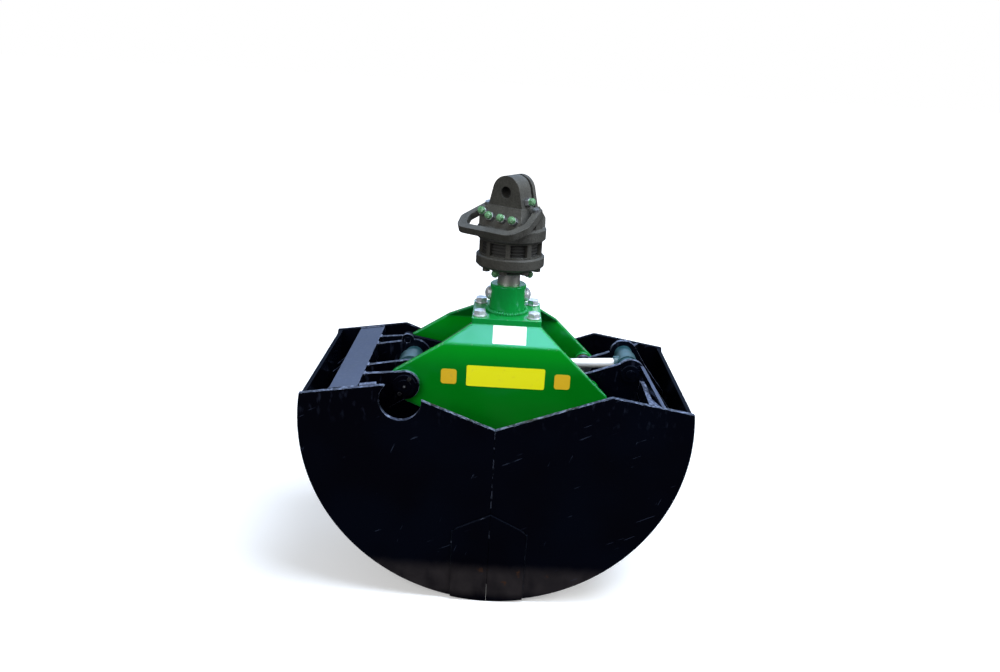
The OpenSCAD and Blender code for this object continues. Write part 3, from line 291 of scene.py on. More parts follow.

# %% [markdown]
# One recipe gives five blacks, from the quiet one of the far sides to the scuffed one of the
# narrow bar. Five separate materials would drift apart with each change. `worn` widens the rubbed
# edges, `dust_sheen_level` and `sheen` set the dust and the painted sheen of the sky on what faces
# up, `speckle` and `flaking` the bare spots and painted glints there, `matt` its roughness and
# `gloss` the coat's mirror.

# %% Make the black paint
def black_paint(name, worn=1.0, sheen=0.0, gloss=0.20, dust_sheen_level=1.0, speckle=0.8, matt=0.0,
                flaking=0.0):
    paint = Finish(name, Specular_IOR_Level=gloss, Specular_Tint=SKY_TINT)
    rounded = paint.soft_edges(0.0022)
    wide = paint.noise(0.22, 2.0)
    patches = paint.noise(0.05, 4.0)
    fine = paint.noise(0.006, 3.0)
    top = paint.facing_up().ease(0.25, 0.9)
    up = top * dust_sheen_level
    streaky = paint.noise(0.030, 3.0, stretch=(1.0, 1.0, 0.35))
    # The low band: its brown is a painted reflection of the ground, with the roughness and bumps of
    # caked earth. It stops again just above the cutting edge.
    low = 1 - (paint.height() + (streaky - 0.5) * 0.02).ease(*BAND_TOP)
    low = low * (paint.height() + (patches - 0.5) * 0.01).ease(*BAND_FOOT)
    band_earth_and_reflection = low * (streaky.ease(0.25, 0.60) * 0.35 + patches.ease(0.35, 0.65) * 0.25
                   + fine * 0.20 + 0.25)
    colour = paint.mix(wide.ease(0.35, 0.65), BLACK, BLACK_BLUE)
    brushed = paint.noise(0.012, 4.0, stretch=(1.0, 1.0, 0.4)).ease(0.55, 0.75)
    brushed = paint.height().ease(*BRUSH_MARKS) * brushed * dust_sheen_level * 0.22
    colour = paint.mix(brushed, colour, DUST_AND_SKY_SHEEN)
    colour = paint.mix(band_earth_and_reflection, colour, EARTH_AND_GROUND_REFLECTION)
    colour = paint.mix(low * paint.noise(0.026, 3.0).ease(0.66, 0.74), colour, RUST)
    runs = paint.noise(0.034, 3.0).ease(0.43, 0.57)
    # What faces up is painted lighter: dried dust, and a painted sheen of the sky that sheen adds
    # evenly.
    dust_and_sheen = up * (fine * 0.35 + patches.ease(0.2, 0.8) * 0.35 + sheen)
    dust_and_sheen = dust_and_sheen * (runs * flaking + (1 - flaking))
    colour = paint.mix(dust_and_sheen, colour, DUST_AND_SKY_SHEEN)
    first, second = [scratches(paint, *each) for each in SCRATCH_SETS]
    scratch = (first + second) * 0.45
    colour = paint.mix(scratch, colour, DUST_AND_SKY_SHEEN)
    rubbed = paint.noise(0.018, 4.0)
    edge = paint.edges(rounded).ease(0.035, 0.15)
    bare = edge * rubbed.ease(0.58 - 0.14 * worn, 0.70 - 0.12 * worn)
    # Bare spots on what faces up: partly worn steel, partly painted glints of the sky.
    bare = bare * 0.4 + up * paint.noise(0.0070, 4.0).ease(0.44, 0.78) * speckle
    bare = bare + up * runs * paint.noise(0.014, 3.0).ease(0.48, 0.62) * flaking * 0.45
    paint.set(Base_Color=paint.mix(bare, colour, BARE_PLATE_SKY_BLUE),
              Metallic=bare * 0.7,
              Roughness=(fine * 0.08 + wide * 0.08 + dust_and_sheen * 0.35 + band_earth_and_reflection * 0.30 + bare * 0.15
                         + top * matt + 0.17))
    paint.bumps(paint.noise(0.09, 1.0) + fine * 0.03 + band_earth_and_reflection * 0.10, 0.0012, rounded)
    return paint.material


shell_black = black_paint("shell_black", sheen=0.35, speckle=0.55, flaking=0.75)
quiet_black = black_paint("quiet_black", worn=-0.4, dust_sheen_level=0.12, speckle=0.0, matt=0.75)
bar_black = black_paint("bar_black", worn=1.1, sheen=0.55, gloss=0.6, speckle=0.05)
scuffed_black = black_paint("scuffed_black", worn=2.2, sheen=1.0, gloss=0.6, speckle=0.9)
strip_black = black_paint("strip_black", worn=-0.4, gloss=0.18, dust_sheen_level=0.0, speckle=0.0, matt=0.80)
blacks = (shell_black, quiet_black, bar_black, scuffed_black, strip_black)
print("made", [m.name for m in blacks])

# %% [markdown]
# ## Green paint of the head
#
# The head carries a thicker coat, sprayed over the welds. It is glossier than the shells and has
# the slight orange peel of sprayed enamel. One even colour would look like plastic, so two close
# greens lie in wide patches. Below the fold the green is painted lighter towards it, a painted
# highlight of the bend, and above the fold, where the plates lean back, it is painted paler and
# bluer, a painted sheen of the sky. The edges are painted a touch lighter too, partly because the
# coat is thin there and partly as a painted highlight, and a few chips show the primer. The pairs
# are heights again, between which a mask rises.

# %% Make the green paint
GREEN = tint(0.0004, 0.205, 0.009)
GREEN_DEEP = tint(0.0004, 0.180, 0.007)
# Painted highlight of the bend: the upright plate grows lighter towards the fold.
GREEN_FOLD_HIGHLIGHT = tint(0.0004, 0.40, 0.012)
# Painted sheen of the sky on the plates that lean back above the fold.
GREEN_SKY_SHEEN = tint(0.003, 0.285, 0.048)
# Lighter green of the edges, partly thin coat and partly painted highlight; also the painted light
# that lifts a whole coat.
GREEN_EDGE_HIGHLIGHT = tint(0.04, 0.46, 0.15)
PRIMER = tint(0.32, 0.34, 0.33)
COAT_TINT = tint(0.36, 0.75, 1.0)
TOWARDS_FOLD = (-0.385, -0.315)
AT_FOLD = (-0.320, -0.310)
GRIMY = (-0.50, -0.40)


def green_paint(name, painted_lift=0.0, bend=0.0025, lean_sky_sheen=0.80):
    paint = Finish(name, Specular_IOR_Level=0.55, Specular_Tint=COAT_TINT)
    rounded = paint.soft_edges(bend, 6)
    patches = paint.noise(0.10, 3.0)
    fine = paint.noise(0.004, 3.0)
    edge = paint.edges(rounded)
    coat = paint.mix(patches.ease(0.25, 0.75), GREEN_DEEP, GREEN)
    level = paint.height() + (patches - 0.5) * 0.01
    # Painted highlight: the upright plate lighter towards the fold.
    upright = paint.mix(level.ease(*TOWARDS_FOLD) * 0.70, coat, GREEN_FOLD_HIGHLIGHT)
    # Painted sheen of the sky above the fold.
    leaning = paint.mix(lean_sky_sheen, coat, GREEN_SKY_SHEEN)
    colour = paint.mix(level.ease(*AT_FOLD), upright, leaning)
    # Edges painted lighter, partly thin coat and partly painted highlight; the lift paints the
    # whole coat lighter as painted light.
    colour = paint.mix(edge.ease(0.02, 0.16) * 0.55 + painted_lift, colour, GREEN_EDGE_HIGHLIGHT)
    chips = edge.ease(0.06, 0.2) * paint.noise(0.009, 4.0).ease(0.62, 0.68)
    colour = paint.mix(chips, colour, PRIMER)
    grime = (1 - paint.height().ease(*GRIMY)) * patches.ease(0.3, 0.8) * 0.25
    paint.set(Base_Color=paint.mix(grime, colour, EARTH_AND_GROUND_REFLECTION),
              Roughness=patches * 0.06 + grime * 0.3 + chips * 0.3 + 0.15)
    paint.bumps(paint.noise(0.05, 1.0) + fine * 0.05, 0.0007, rounded)
    return paint.material


head_green = green_paint("head_green", bend=0.0090, lean_sky_sheen=0.60)
# The collar's coat is painted a little lighter all over, as painted light.
collar_green = green_paint("collar_green", painted_lift=0.04)
print("made", head_green.name, "and", collar_green.name)

# %% [markdown]
# ## Castings
#
# The swivel's housing is cast iron in a thin grey-black coat. A casting shows the sand of its
# mould, and its proud edges are polished by handling. The grain is less than a millimetre deep,
# too fine to model, so a coarse and irregular bump stands for it.

# %% Make the cast iron
IRON = tint(0.034, 0.0335, 0.029)
IRON_PALE = tint(0.074, 0.072, 0.063)
IRON_EDGE = tint(0.15, 0.15, 0.14)


def cast_iron(name):
    iron = Finish(name, Specular_IOR_Level=0.35)
    rounded = iron.soft_edges(0.0020)
    sand = iron.noise(0.0034, 4.0)
    patches = iron.noise(0.03, 3.0)
    up = iron.facing_up().ease(0.3, 1.0)
    pale = patches.ease(0.3, 0.7) * 0.45 + sand.ease(0.36, 0.66) * 0.40 + up * 0.15
    colour = iron.mix(pale, IRON, IRON_PALE)
    proud = iron.edges(rounded).ease(0.03, 0.18) * iron.noise(0.012, 3.0).ease(0.35, 0.62)
    iron.set(Base_Color=iron.mix(proud * 0.6, colour, IRON_EDGE),
             Metallic=proud * 0.4 + 0.15,
             Roughness=0.62 - patches * 0.10 - proud * 0.12)
    iron.bumps(sand + patches * 0.5, 0.0009, rounded)
    return iron.material


cast_grey = cast_iron("cast_grey")
print("made", cast_grey.name)

# %% [markdown]
# ## Bare, plated and moulded finishes
#
# Zinc plate is a satin metal with a cloudy sheen that dulls with time. Turned steel has fine
# rings round its axis, and oiled steel is nearly black. The rod is hard chrome; its white is
# painted, a colour only partly metal that stands for the glare of its reflections.
# The bushes are bronze. Most of these differ only in their two tones and their roughness, so one
# recipe makes them all, and only the turned steel has its own, for the rings.

# %% Make the metals
METAL_RUST = tint(0.20, 0.09, 0.04)


def plain_metal(name, dark, pale, rough, relief=0.0001, rust=0.0, metallic=1.0):
    metal = Finish(name, Metallic=metallic)
    rounded = metal.soft_edges(0.0010)
    cloud = metal.noise(0.010, 3.0)
    fine = metal.noise(0.0012, 2.0)
    colour = metal.mix(cloud.ease(0.3, 0.7), dark, pale)
    stain = metal.noise(0.02, 4.0).ease(0.66, 0.74) * rust
    metal.set(Base_Color=metal.mix(stain, colour, METAL_RUST),
              Roughness=cloud * 0.12 + fine * 0.05 + stain * 0.4 + rough)
    metal.bumps(fine, relief, rounded)
    return metal.material


def turned_steel(name, dark, pale, rough):
    """Turned round the upright axis, so its rings are level streaks."""
    metal = Finish(name, Metallic=1.0)
    rounded = metal.soft_edges(0.0010)
    rings = metal.noise(0.02, 2.0, stretch=(1, 1, 45))
    cloud = metal.noise(0.03, 3.0)
    metal.set(Base_Color=metal.mix(rings * 0.6 + cloud * 0.4, dark, pale),
              Roughness=rings * 0.10 + rough)
    metal.bumps(rings, 0.00008, rounded)
    return metal.material


zinc = plain_metal("zinc", tint(0.52, 0.55, 0.60), tint(0.80, 0.84, 0.90), 0.26, rust=0.20,
                   metallic=0.65)
dull_zinc = plain_metal("dull_zinc", tint(0.28, 0.29, 0.31), tint(0.46, 0.47, 0.50), 0.34)
steel = plain_metal("bare_steel", tint(0.26, 0.26, 0.27), tint(0.40, 0.40, 0.41), 0.34, rust=0.5)
bronze = plain_metal("bronze", tint(0.20, 0.12, 0.05), tint(0.34, 0.21, 0.09), 0.34)
shaft_steel = turned_steel("shaft_steel", tint(0.40, 0.39, 0.37), tint(0.56, 0.55, 0.52), 0.42)
# Painted glare: nearly white and only partly metal, so the rod is painted bright from every side.
rod_chrome_glare = plain_metal("chrome_rod", tint(0.96, 0.98, 1.0), tint(1.0, 1.0, 1.0), 0.26,
                         relief=0.00001, metallic=0.30)
oiled_steel = plain_metal("oiled_steel", tint(0.035, 0.036, 0.040), tint(0.070, 0.070, 0.074),
                          0.36)
metals = (zinc, dull_zinc, steel, bronze, shaft_steel, rod_chrome_glare, oiled_steel)
print("made", [m.name for m in metals])

# %% [markdown]
# The cylinder has a thin blue-grey primer, the caps are soft green plastic, the swivel's core is
# painted dark and its seal is rubber. None of them is a bare metal, so they share one simpler
# recipe: a cloud of two tones that is lighter on the edges, over a fine grain.

# %% Make the primer, the plastic and the rubber
def plain_coat(name, dark, pale, rough, grain, specular=0.5):
    coat = Finish(name, Specular_IOR_Level=specular)
    rounded = coat.soft_edges(0.0015)
    cloud = coat.noise(grain, 3.0)
    fine = coat.noise(0.003, 2.0)
    edge = coat.edges(rounded).ease(0.03, 0.18)
    coat.set(Base_Color=coat.mix(cloud.ease(0.25, 0.75) * 0.7 + edge * 0.3, dark, pale),
             Roughness=cloud * 0.12 + rough)
    coat.bumps(fine, 0.0002, rounded)
    return coat.material


cylinder_grey = plain_coat("cylinder_grey", tint(0.008, 0.040, 0.050), tint(0.040, 0.115, 0.140),
                           0.30, 0.02)
cap_green = plain_coat("cap_green", tint(0.045, 0.150, 0.055), tint(0.17, 0.38, 0.19),
                       0.24, 0.006, specular=0.8)
stack_dark = plain_coat("stack_dark", tint(0.016, 0.016, 0.015), tint(0.030, 0.030, 0.028),
                        0.6, 0.01)
seal_black = plain_coat("seal_black", tint(0.010, 0.010, 0.010), tint(0.02, 0.02, 0.02),
                        0.6, 0.01)
print("made", cylinder_grey.name, cap_green.name, stack_dark.name, seal_black.name)

# %% [markdown]
# ## Which solid gets which finish
#
# The shells are sprayed with their pins in place, so these are black too. The flange's bolts go
# in afterwards and keep their zinc. Each solid could get its finish on a line of its own. One
# table is easier to check, and the count that is printed shows whether a solid was forgotten.

# %% Dress the solids
DRESS = {
    shell_black: ["left_front_side", "left_inner_ribs", "left_outer_ribs",
                  "right_front_side", "right_ribs"],
    quiet_black: ["left_rear_side", "left_wrap", "left_lip", "right_rear_side", "right_wrap",
                  "right_lip", "ear_collars", "rod_pin_collars", "left_pivot_pin", "rod_pin",
                  "sync_link", "left_link_pin", "right_link_pin"],
    strip_black: ["left_edge_strips", "right_edge_strips"],
    bar_black: ["left_cross_bar", "right_braces"],
    scuffed_black: ["right_cross_bar"],
    head_green: ["head_top_plate", "head_front_plate", "head_rear_plate", "left_bosses",
                 "right_bosses"],
    collar_green: ["flange_collar"],
    cast_grey: ["hanger_head", "swivel_cage", "lower_flange", "hose_guard", "housing_bolts"],
    stack_dark: ["stator_core"],
    zinc: ["cross_bolt", "dome_nut", "flange_bolts", "flange_nuts"],
    dull_zinc: ["guard_bolts", "port_fittings", "right_pivot_pins"],
    steel: ["swivel_bearings", "shaft_nut", "piston"],
    oiled_steel: ["collar_bolts", "grease_nipples"],
    shaft_steel: ["rotor_shaft"],
    bronze: ["head_bushes", "base_bush"],
    rod_chrome_glare: ["piston_rod"],
    cylinder_grey: ["cylinder_tube", "base_eye", "gland", "cylinder_ports", "rod_eye",
                    "eye_spacers", "rod_spacers"],
    cap_green: ["port_caps"],
    seal_black: ["shaft_seal"],
}
for finish, names in DRESS.items():
    for name in names:
        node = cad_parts[name]
        node.data.materials.clear()
        node.data.materials.append(finish)
print("dressed", sum(len(names) for names in DRESS.values()), "of", len(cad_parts), "solids")

# %% [markdown]
# ## Helpers for modelling
#
# An operator works on all that is selected, and the loaded solids come in selected, so each
# piece starts from a clean selection. When a piece is done its place is applied to its mesh,
# which leaves the object itself at the origin, as the solids are. These steps are the same for
# all pieces, so they are written once.

# %% Start and finish a piece
def start_clean():
    bpy.ops.object.select_all(action="DESELECT")


def only(piece):
    start_clean()
    piece.select_set(True)
    bpy.context.view_layer.objects.active = piece


def apply_all(piece):
    only(piece)
    for modifier in list(piece.modifiers):
        bpy.ops.object.modifier_apply(modifier=modifier.name)


def joined(pieces):
    start_clean()
    for piece in pieces:
        piece.select_set(True)
    bpy.context.view_layer.objects.active = pieces[0]
    bpy.ops.object.join()
    return bpy.context.object


def hand_over(piece, name, finish, body, smooth=35):
    """Names the piece, applies its place, paints it and lets it ride on its body."""
    only(piece)
    bpy.ops.object.transform_apply(location=True, rotation=True, scale=True)
    bpy.ops.object.shade_smooth_by_angle(angle=math.radians(smooth))
    piece.name = name
    piece.data.materials.clear()
    piece.data.materials.append(finish)
    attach(piece, body)
    return piece


print("modelling helpers are ready")

# %% [markdown]
# ## Weld beads
#
# A weld is laid as a row of overlapping puddles, which is what makes it read as a weld and not
# as a fillet. A round bar swept along the joint would be quicker but smooth. One flattened ball
# is modelled and an Array modifier repeats it, at first along a line with a fixed step. A bead's
# size is half its width.

# %% Lay a straight bead
RIPPLE_STEP = 0.80
RIPPLE_SHAPE = (0.62, 1.0, 1.0)


def one_ripple(size, spot, along):
    """A puddle of the bead, longer across than along it."""
    start_clean()
    bpy.ops.mesh.primitive_uv_sphere_add(segments=8, ring_count=6, radius=size)
    ripple = bpy.context.object
    ripple.scale = RIPPLE_SHAPE
    ripple.rotation_euler = Vector((1, 0, 0)).rotation_difference(along).to_euler()
    bpy.ops.object.transform_apply(location=False, rotation=True, scale=True)
    ripple.location = spot
    bpy.ops.object.transform_apply(location=True, rotation=False, scale=False)
    return ripple


def array_of(ripple, count):
    row = ripple.modifiers.new("row", "ARRAY")
    row.use_relative_offset = False
    row.count = count
    return row


def bead_row(start, end, size):
    step = (end - start).normalized() * size * RIPPLE_STEP
    bead = one_ripple(size, start, step)
    row = array_of(bead, int((end - start).length / step.length) + 1)
    row.use_constant_offset = True
    row.constant_offset_displace = step
    apply_all(bead)
    return bead


def weld_line(name, start, end, size, finish, body, slot):
    hand_over(bead_row(start, end, size), name, finish, body)


print("a bead has a ripple every", RIPPLE_STEP, "of its half width")

# %% [markdown]
# Round a pin or along a curved plate the bead turns as it goes. The Array modifier can take its
# step from another object, so an empty that is turned by one ripple carries the next puddle
# round the centre. It is removed when the modifier has been applied.

# %% Lay a bead round a centre
def weld_arc(name, centre, radius, first, last, size, finish, body, slot, axis="Y",
             ripple=RIPPLE_STEP):
    """A bead round an axis through centre, from one angle to another, in degrees."""
    turn = size * ripple / radius
    low = math.radians(first)
    cos, sin = math.cos(low), math.sin(low)
    if axis == "Y":
        spot, along, swing = Vector((cos, 0, sin)), Vector((-sin, 0, cos)), (0, -turn, 0)
    else:
        spot, along, swing = Vector((cos, sin, 0)), Vector((-sin, cos, 0)), (0, 0, turn)
    bead = one_ripple(size, spot * radius, along)
    start_clean()
    bpy.ops.object.empty_add(rotation=swing)
    step = bpy.context.object
    row = array_of(bead, int(math.radians(last - first) / turn) + 1)
    row.use_object_offset = True
    row.offset_object = step
    apply_all(bead)
    bpy.data.objects.remove(step)
    bead.location = centre
    hand_over(bead, name, finish, body)


print("beads can follow an arc")

# %% [markdown]
# The wrap plate of a shell stands back a little from the edge of its side plates, and the weld
# fills that step all the way round. Shorter beads hold the cross bars between the side plates
# and the edge strips on them. Two thick ones lie side by side just inside the left front plate,
# from the bar towards the peak of the plate. The beads sit a little below the edges they follow.
#
# Places are on the drawing. A bar is given by its side of the seam, its near edge and its width,
# and a bead by half its width in metres.

# %% Weld the shells
WRAP_CENTRE_Z = -59.0
WRAP_WELD_R = 408.9
WRAP_ARCS = {"left": (173.5, 269.6), "right": (-89.6, 6.5)}
SIDE_IN = 205.0
PEAK = (236.0, 28.0)
CORNER = (411.0, 0.0)
BARS = {"left": (-1, 290.0, 60.0), "right": (1, 314.5, 10.0)}
STRIP_X, STRIP_Y = 80.6, 216.0
STRIP_HEIGHTS = (-458.0, -300.0)
FOOT_ENDS = (284, 250)
FOOT_ROWS = {"outer": 3.0, "inner": 8.0}
WRAP_BEAD, BAR_BEAD, STRIP_BEAD, FOOT_BEAD = 0.0028, 0.0030, 0.0020, 0.0045
BOTH_SIDES = {"front": -1, "rear": 1}


def top_edge(x):
    """Height of a side plate's sloping top edge at a distance from the seam."""
    return PEAK[1] - (x - PEAK[0]) * (PEAK[1] - CORNER[1]) / (CORNER[0] - PEAK[0])


for shell, (side, bar_x, bar_w) in BARS.items():
    body = shell + "_shell"
    for row, way in BOTH_SIDES.items():
        y = way * (SIDE_IN - 2.0)
        weld_arc(f"{shell}_{row}_wrap_weld", on_drawing(0, y, WRAP_CENTRE_Z), WRAP_WELD_R / 1000,
                 *WRAP_ARCS[shell], WRAP_BEAD, quiet_black, body, "shell_black")
        ends = [on_drawing(side * x, y, top_edge(x) - 1.6) for x in (bar_x + 1, bar_x + bar_w - 1)]
        weld_line(f"{shell}_{row}_bar_weld", *ends, BAR_BEAD, shell_black, body, "shell_black")
    for row, way in BOTH_SIDES.items():
        ends = [on_drawing(side * STRIP_X, way * STRIP_Y, z) for z in STRIP_HEIGHTS]
        weld_line(f"{shell}_{row}_strip_weld", *ends, STRIP_BEAD, quiet_black, body, "shell_black")
for row, inward in FOOT_ROWS.items():
    ends = [on_drawing(-x, inward - SIDE_IN, top_edge(x) - 1.5) for x in FOOT_ENDS]
    weld_line(f"left_foot_{row}_weld", *ends, FOOT_BEAD, scuffed_black, "left_shell", "shell_black")
print("welded the shells: bars at", {shell: bar[1] for shell, bar in BARS.items()}, "mm")

# %% [markdown]
# Each rib is tacked to the cross bar that it passes: one short bead over the rib's top on the
# left shell, and one on either side of it on the right. They are laid like the long beads, and
# the tacks of a shell are joined into one piece, since none of them moves alone. A rib of the
# left shell is given by the place of one face across the bucket and the height of its top.

# %% Tack the ribs to the bars
RIB_THICK = 10.0
LEFT_TACK_X = -287.0
LEFT_RIB_TOPS = {66.0: 17.6, 120.0: 17.2, -76.0: 17.6, -130.0: 17.2}
PAST_RIB = 3.0
RIGHT_TACK_Y = (-71.5, -59.5, 59.5, 71.5)
RIGHT_TACK_ENDS = ((313.0, 12.2), (323.0, 10.8))
LEFT_TACK_BEAD, RIGHT_TACK_BEAD = 0.0028, 0.0026

tacks = []
for rib_y, top in LEFT_RIB_TOPS.items():
    ends = [on_drawing(LEFT_TACK_X, y, top)
            for y in (rib_y - PAST_RIB, rib_y + RIB_THICK + PAST_RIB)]
    tacks.append(bead_row(*ends, LEFT_TACK_BEAD))
piece = hand_over(joined(tacks), "left_tack_welds", scuffed_black, "left_shell")
print(piece.name, "has", len(piece.data.polygons), "faces")
tacks = []
for y in RIGHT_TACK_Y:
    ends = [on_drawing(x, y, z) for x, z in RIGHT_TACK_ENDS]
    tacks.append(bead_row(*ends, RIGHT_TACK_BEAD))
piece = hand_over(joined(tacks), "right_tack_welds", scuffed_black, "right_shell")
print(piece.name, "has", len(piece.data.polygons), "faces")

# %% [markdown]
# Behind the seam the left shell carries a flat guard bar at each side plate. It reaches a few
# millimetres past the seam, so no light and no sand comes through when the shells are closed.
# A plane is scaled to the bar's foot, extruded to its length and bevelled. A cube scaled to size
# would give the same bar. The plane comes first here because the gussets and the panels below
# start flat too and are thickened by the same helper.

# %% Fit the seam guards
def soften(piece, width, sharper_than=30):
    """Bevels the edges that turn by more than an angle in degrees."""
    rim = piece.modifiers.new("rim", "BEVEL")
    rim.width = width
    rim.segments = 2
    rim.angle_limit = math.radians(sharper_than)
    apply_all(piece)


def thicken(depth):
    """In edit mode: extrudes the flat piece to a depth, turns its faces outward and leaves."""
    bpy.ops.mesh.select_all(action="SELECT")
    bpy.ops.mesh.extrude_region_move(TRANSFORM_OT_translate={"value": (0, 0, depth)})
    bpy.ops.mesh.select_all(action="SELECT")
    bpy.ops.mesh.normals_make_consistent(inside=False)
    bpy.ops.object.mode_set(mode="OBJECT")


def flat_bar(name, low, high, finish, body):
    """A bar with bevelled edges between two opposite corners."""
    start_clean()
    bpy.ops.mesh.primitive_plane_add(size=1)
    bar = bpy.context.object
    bar.scale = (high.x - low.x, high.y - low.y, 1)
    bar.location = ((low.x + high.x) / 2, (low.y + high.y) / 2, low.z)
    bpy.ops.object.transform_apply(location=True, rotation=False, scale=True)
    bpy.ops.object.mode_set(mode="EDIT")
    thicken(high.z - low.z)
    soften(bar, 0.0004)
    return hand_over(bar, name, finish, body)


GUARD_GAP, GUARD_THICK = 0.2, 1.6
GUARD_LOW, GUARD_HIGH = (-14, -438), (3.5, -66)
for row, y in (("front", -SIDE_IN + GUARD_GAP), ("rear", SIDE_IN - GUARD_GAP - GUARD_THICK)):
    low = on_drawing(GUARD_LOW[0], y, GUARD_LOW[1])
    high = on_drawing(GUARD_HIGH[0], y + GUARD_THICK, GUARD_HIGH[1])
    piece = flat_bar(f"{row}_seam_guard", low, high, quiet_black, "left_shell")
    print(piece.name, [round(v * 1000) for v in piece.dimensions], "mm")

# %% [markdown]
# Where the narrow bar of the right shell meets the side plates, a small three-cornered gusset
# fills the corner between the bar and the brace, a little below the plate's top edge. A circle of
# three vertices is a triangle: its corners are set on the drawing, one extrude gives it a
# thickness and a bevel its soft rim. Cutting a corner off a cube would take more steps.

# %% Fit the gussets
def gusset(name, corners, thick):
    start_clean()
    bpy.ops.mesh.primitive_circle_add(vertices=3, fill_type="NGON")
    plate = bpy.context.object
    for vertex, corner in zip(plate.data.vertices, corners):
        vertex.co = corner
    bpy.ops.object.mode_set(mode="EDIT")
    thicken(-thick)
    soften(plate, 0.0008)
    return hand_over(plate, name, scuffed_black, "right_shell")


GUSSET_CORNERS = ((322, SIDE_IN), (344, SIDE_IN), (322, 152.0))
GUSSET_BELOW = 3.5
GUSSET_THICK = 0.004
for row, way in BOTH_SIDES.items():
    corners = [on_drawing(x, way * y, top_edge(x) - GUSSET_BELOW) for x, y in GUSSET_CORNERS]
    piece = gusset(f"right_{row}_gusset", corners, GUSSET_THICK)
    print(piece.name, "has", len(piece.data.polygons), "faces")

# %% [markdown]
# On the head, a bead runs round the foot of the collar and round each left boss where it leaves
# the folded plate. The collar's ripples are wide apart, as from a thick electrode.

# %% Weld the head
COLLAR_FOOT_Z = 141.0
COLLAR_WELD_R, COLLAR_BEAD, COLLAR_RIPPLE = 0.0432, 0.0054, 1.05
BOSS_X, BOSS_Y, BOSS_Z = -200, 114.8, -4
BOSS_WELD_R, BOSS_BEAD = 0.0292, 0.0026
weld_arc("collar_weld", on_drawing(AXIS_X, 0, COLLAR_FOOT_Z), COLLAR_WELD_R, 0, 359, COLLAR_BEAD,
         collar_green, "head", "head_green", axis="Z", ripple=COLLAR_RIPPLE)
for row, way in BOTH_SIDES.items():
    weld_arc(f"{row}_boss_weld", on_drawing(BOSS_X, way * BOSS_Y, BOSS_Z), BOSS_WELD_R, 0, 360,
             BOSS_BEAD, head_green, "head", "head_green")
print("welded the head with beads of", COLLAR_BEAD, "and", BOSS_BEAD)

# %% [markdown]
# ## Bolts
#
# A forged hexagon head isn't a sharp prism: its corners are turned away by a cone. The quickest
# way to that shape is to intersect a hexagon with a bevelled disc, which leaves the curved
# facets that catch the light. The flange bolts also have a washer and a shank.

# %% Model one bolt
CORNER_CUT = 0.10


def rise(height):
    return Vector((0, 0, height))


def cylinder(vertices, radius, tall, foot):
    start_clean()
    bpy.ops.mesh.primitive_cylinder_add(vertices=vertices, radius=radius, depth=tall,
                                        location=foot + rise(tall / 2))
    return bpy.context.object


def hexagon_head(flats, tall, foot):
    over_corners = flats / math.sqrt(3)
    disc = cylinder(48, over_corners * 1.01, tall, foot)
    bpy.ops.object.mode_set(mode="EDIT")
    bpy.ops.mesh.select_mode(type="FACE")
    bpy.ops.mesh.select_all(action="DESELECT")
    bpy.ops.object.mode_set(mode="OBJECT")
    for face in disc.data.polygons:
        face.select = face.normal.z > 0.9
    bpy.ops.object.mode_set(mode="EDIT")
    bpy.ops.mesh.bevel(offset=flats * CORNER_CUT, segments=2, affect="EDGES")
    bpy.ops.object.mode_set(mode="OBJECT")
    head = cylinder(6, over_corners, tall, foot)
    trim = head.modifiers.new("trim", "BOOLEAN")
    trim.operation = "INTERSECT"
    trim.solver = "EXACT"
    trim.object = disc
    apply_all(head)
    bpy.data.objects.remove(disc)
    return head


def bevelled_disc(radius, thick, foot, bevel):
    disc = cylinder(40, radius, thick, foot)
    soften(disc, bevel, sharper_than=60)
    return disc


print("bolt parts are ready, with", CORNER_CUT, "of their width turned off the corners")

# %% [markdown]
# The four bolts of the flange stand at its corners. They are joined into one set that takes the
# place of the plain bolts among the solids. Washer and shank are given as a radius and a height,
# the head as a width over its flats and a height.

# %% Fit the flange bolts
FLANGE_TOP = 139.0
UNDER_NUT = 102.0
BOLT_SPREAD = (59.0, 52.0)
WASHER, HEAD, SHANK = (0.015, 0.003), (0.024, 0.010), (0.008, 0.0375)
bolts = []
for x in (-BOLT_SPREAD[0], BOLT_SPREAD[0]):
    for y in (-BOLT_SPREAD[1], BOLT_SPREAD[1]):
        top = on_drawing(AXIS_X + x, y, FLANGE_TOP)
        under = on_drawing(AXIS_X + x, y, UNDER_NUT)
        bolts += [bevelled_disc(*WASHER, top, 0.0006),
                  hexagon_head(*HEAD, top + rise(WASHER[1])),
                  bevelled_disc(*SHANK, under, 0.0010)]
flange_bolts = hand_over(joined(bolts), "flange_bolt_set", zinc, "head")
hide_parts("flange_bolts")
print("flange bolts:", len(flange_bolts.data.polygons), "faces")

# %% [markdown]
# ## Caps on the ports
#
# The swivel comes with its ports closed by green plastic caps. A cap is a hexagon with turned
# corners on a low round skirt, and a small round top that a finger can press. One is modelled
# upright at the origin, then copied to each fitting and turned to point the way it does. The
# table gives the foot of each cap, in millimetres from the model's origin, and the direction that
# it points in.

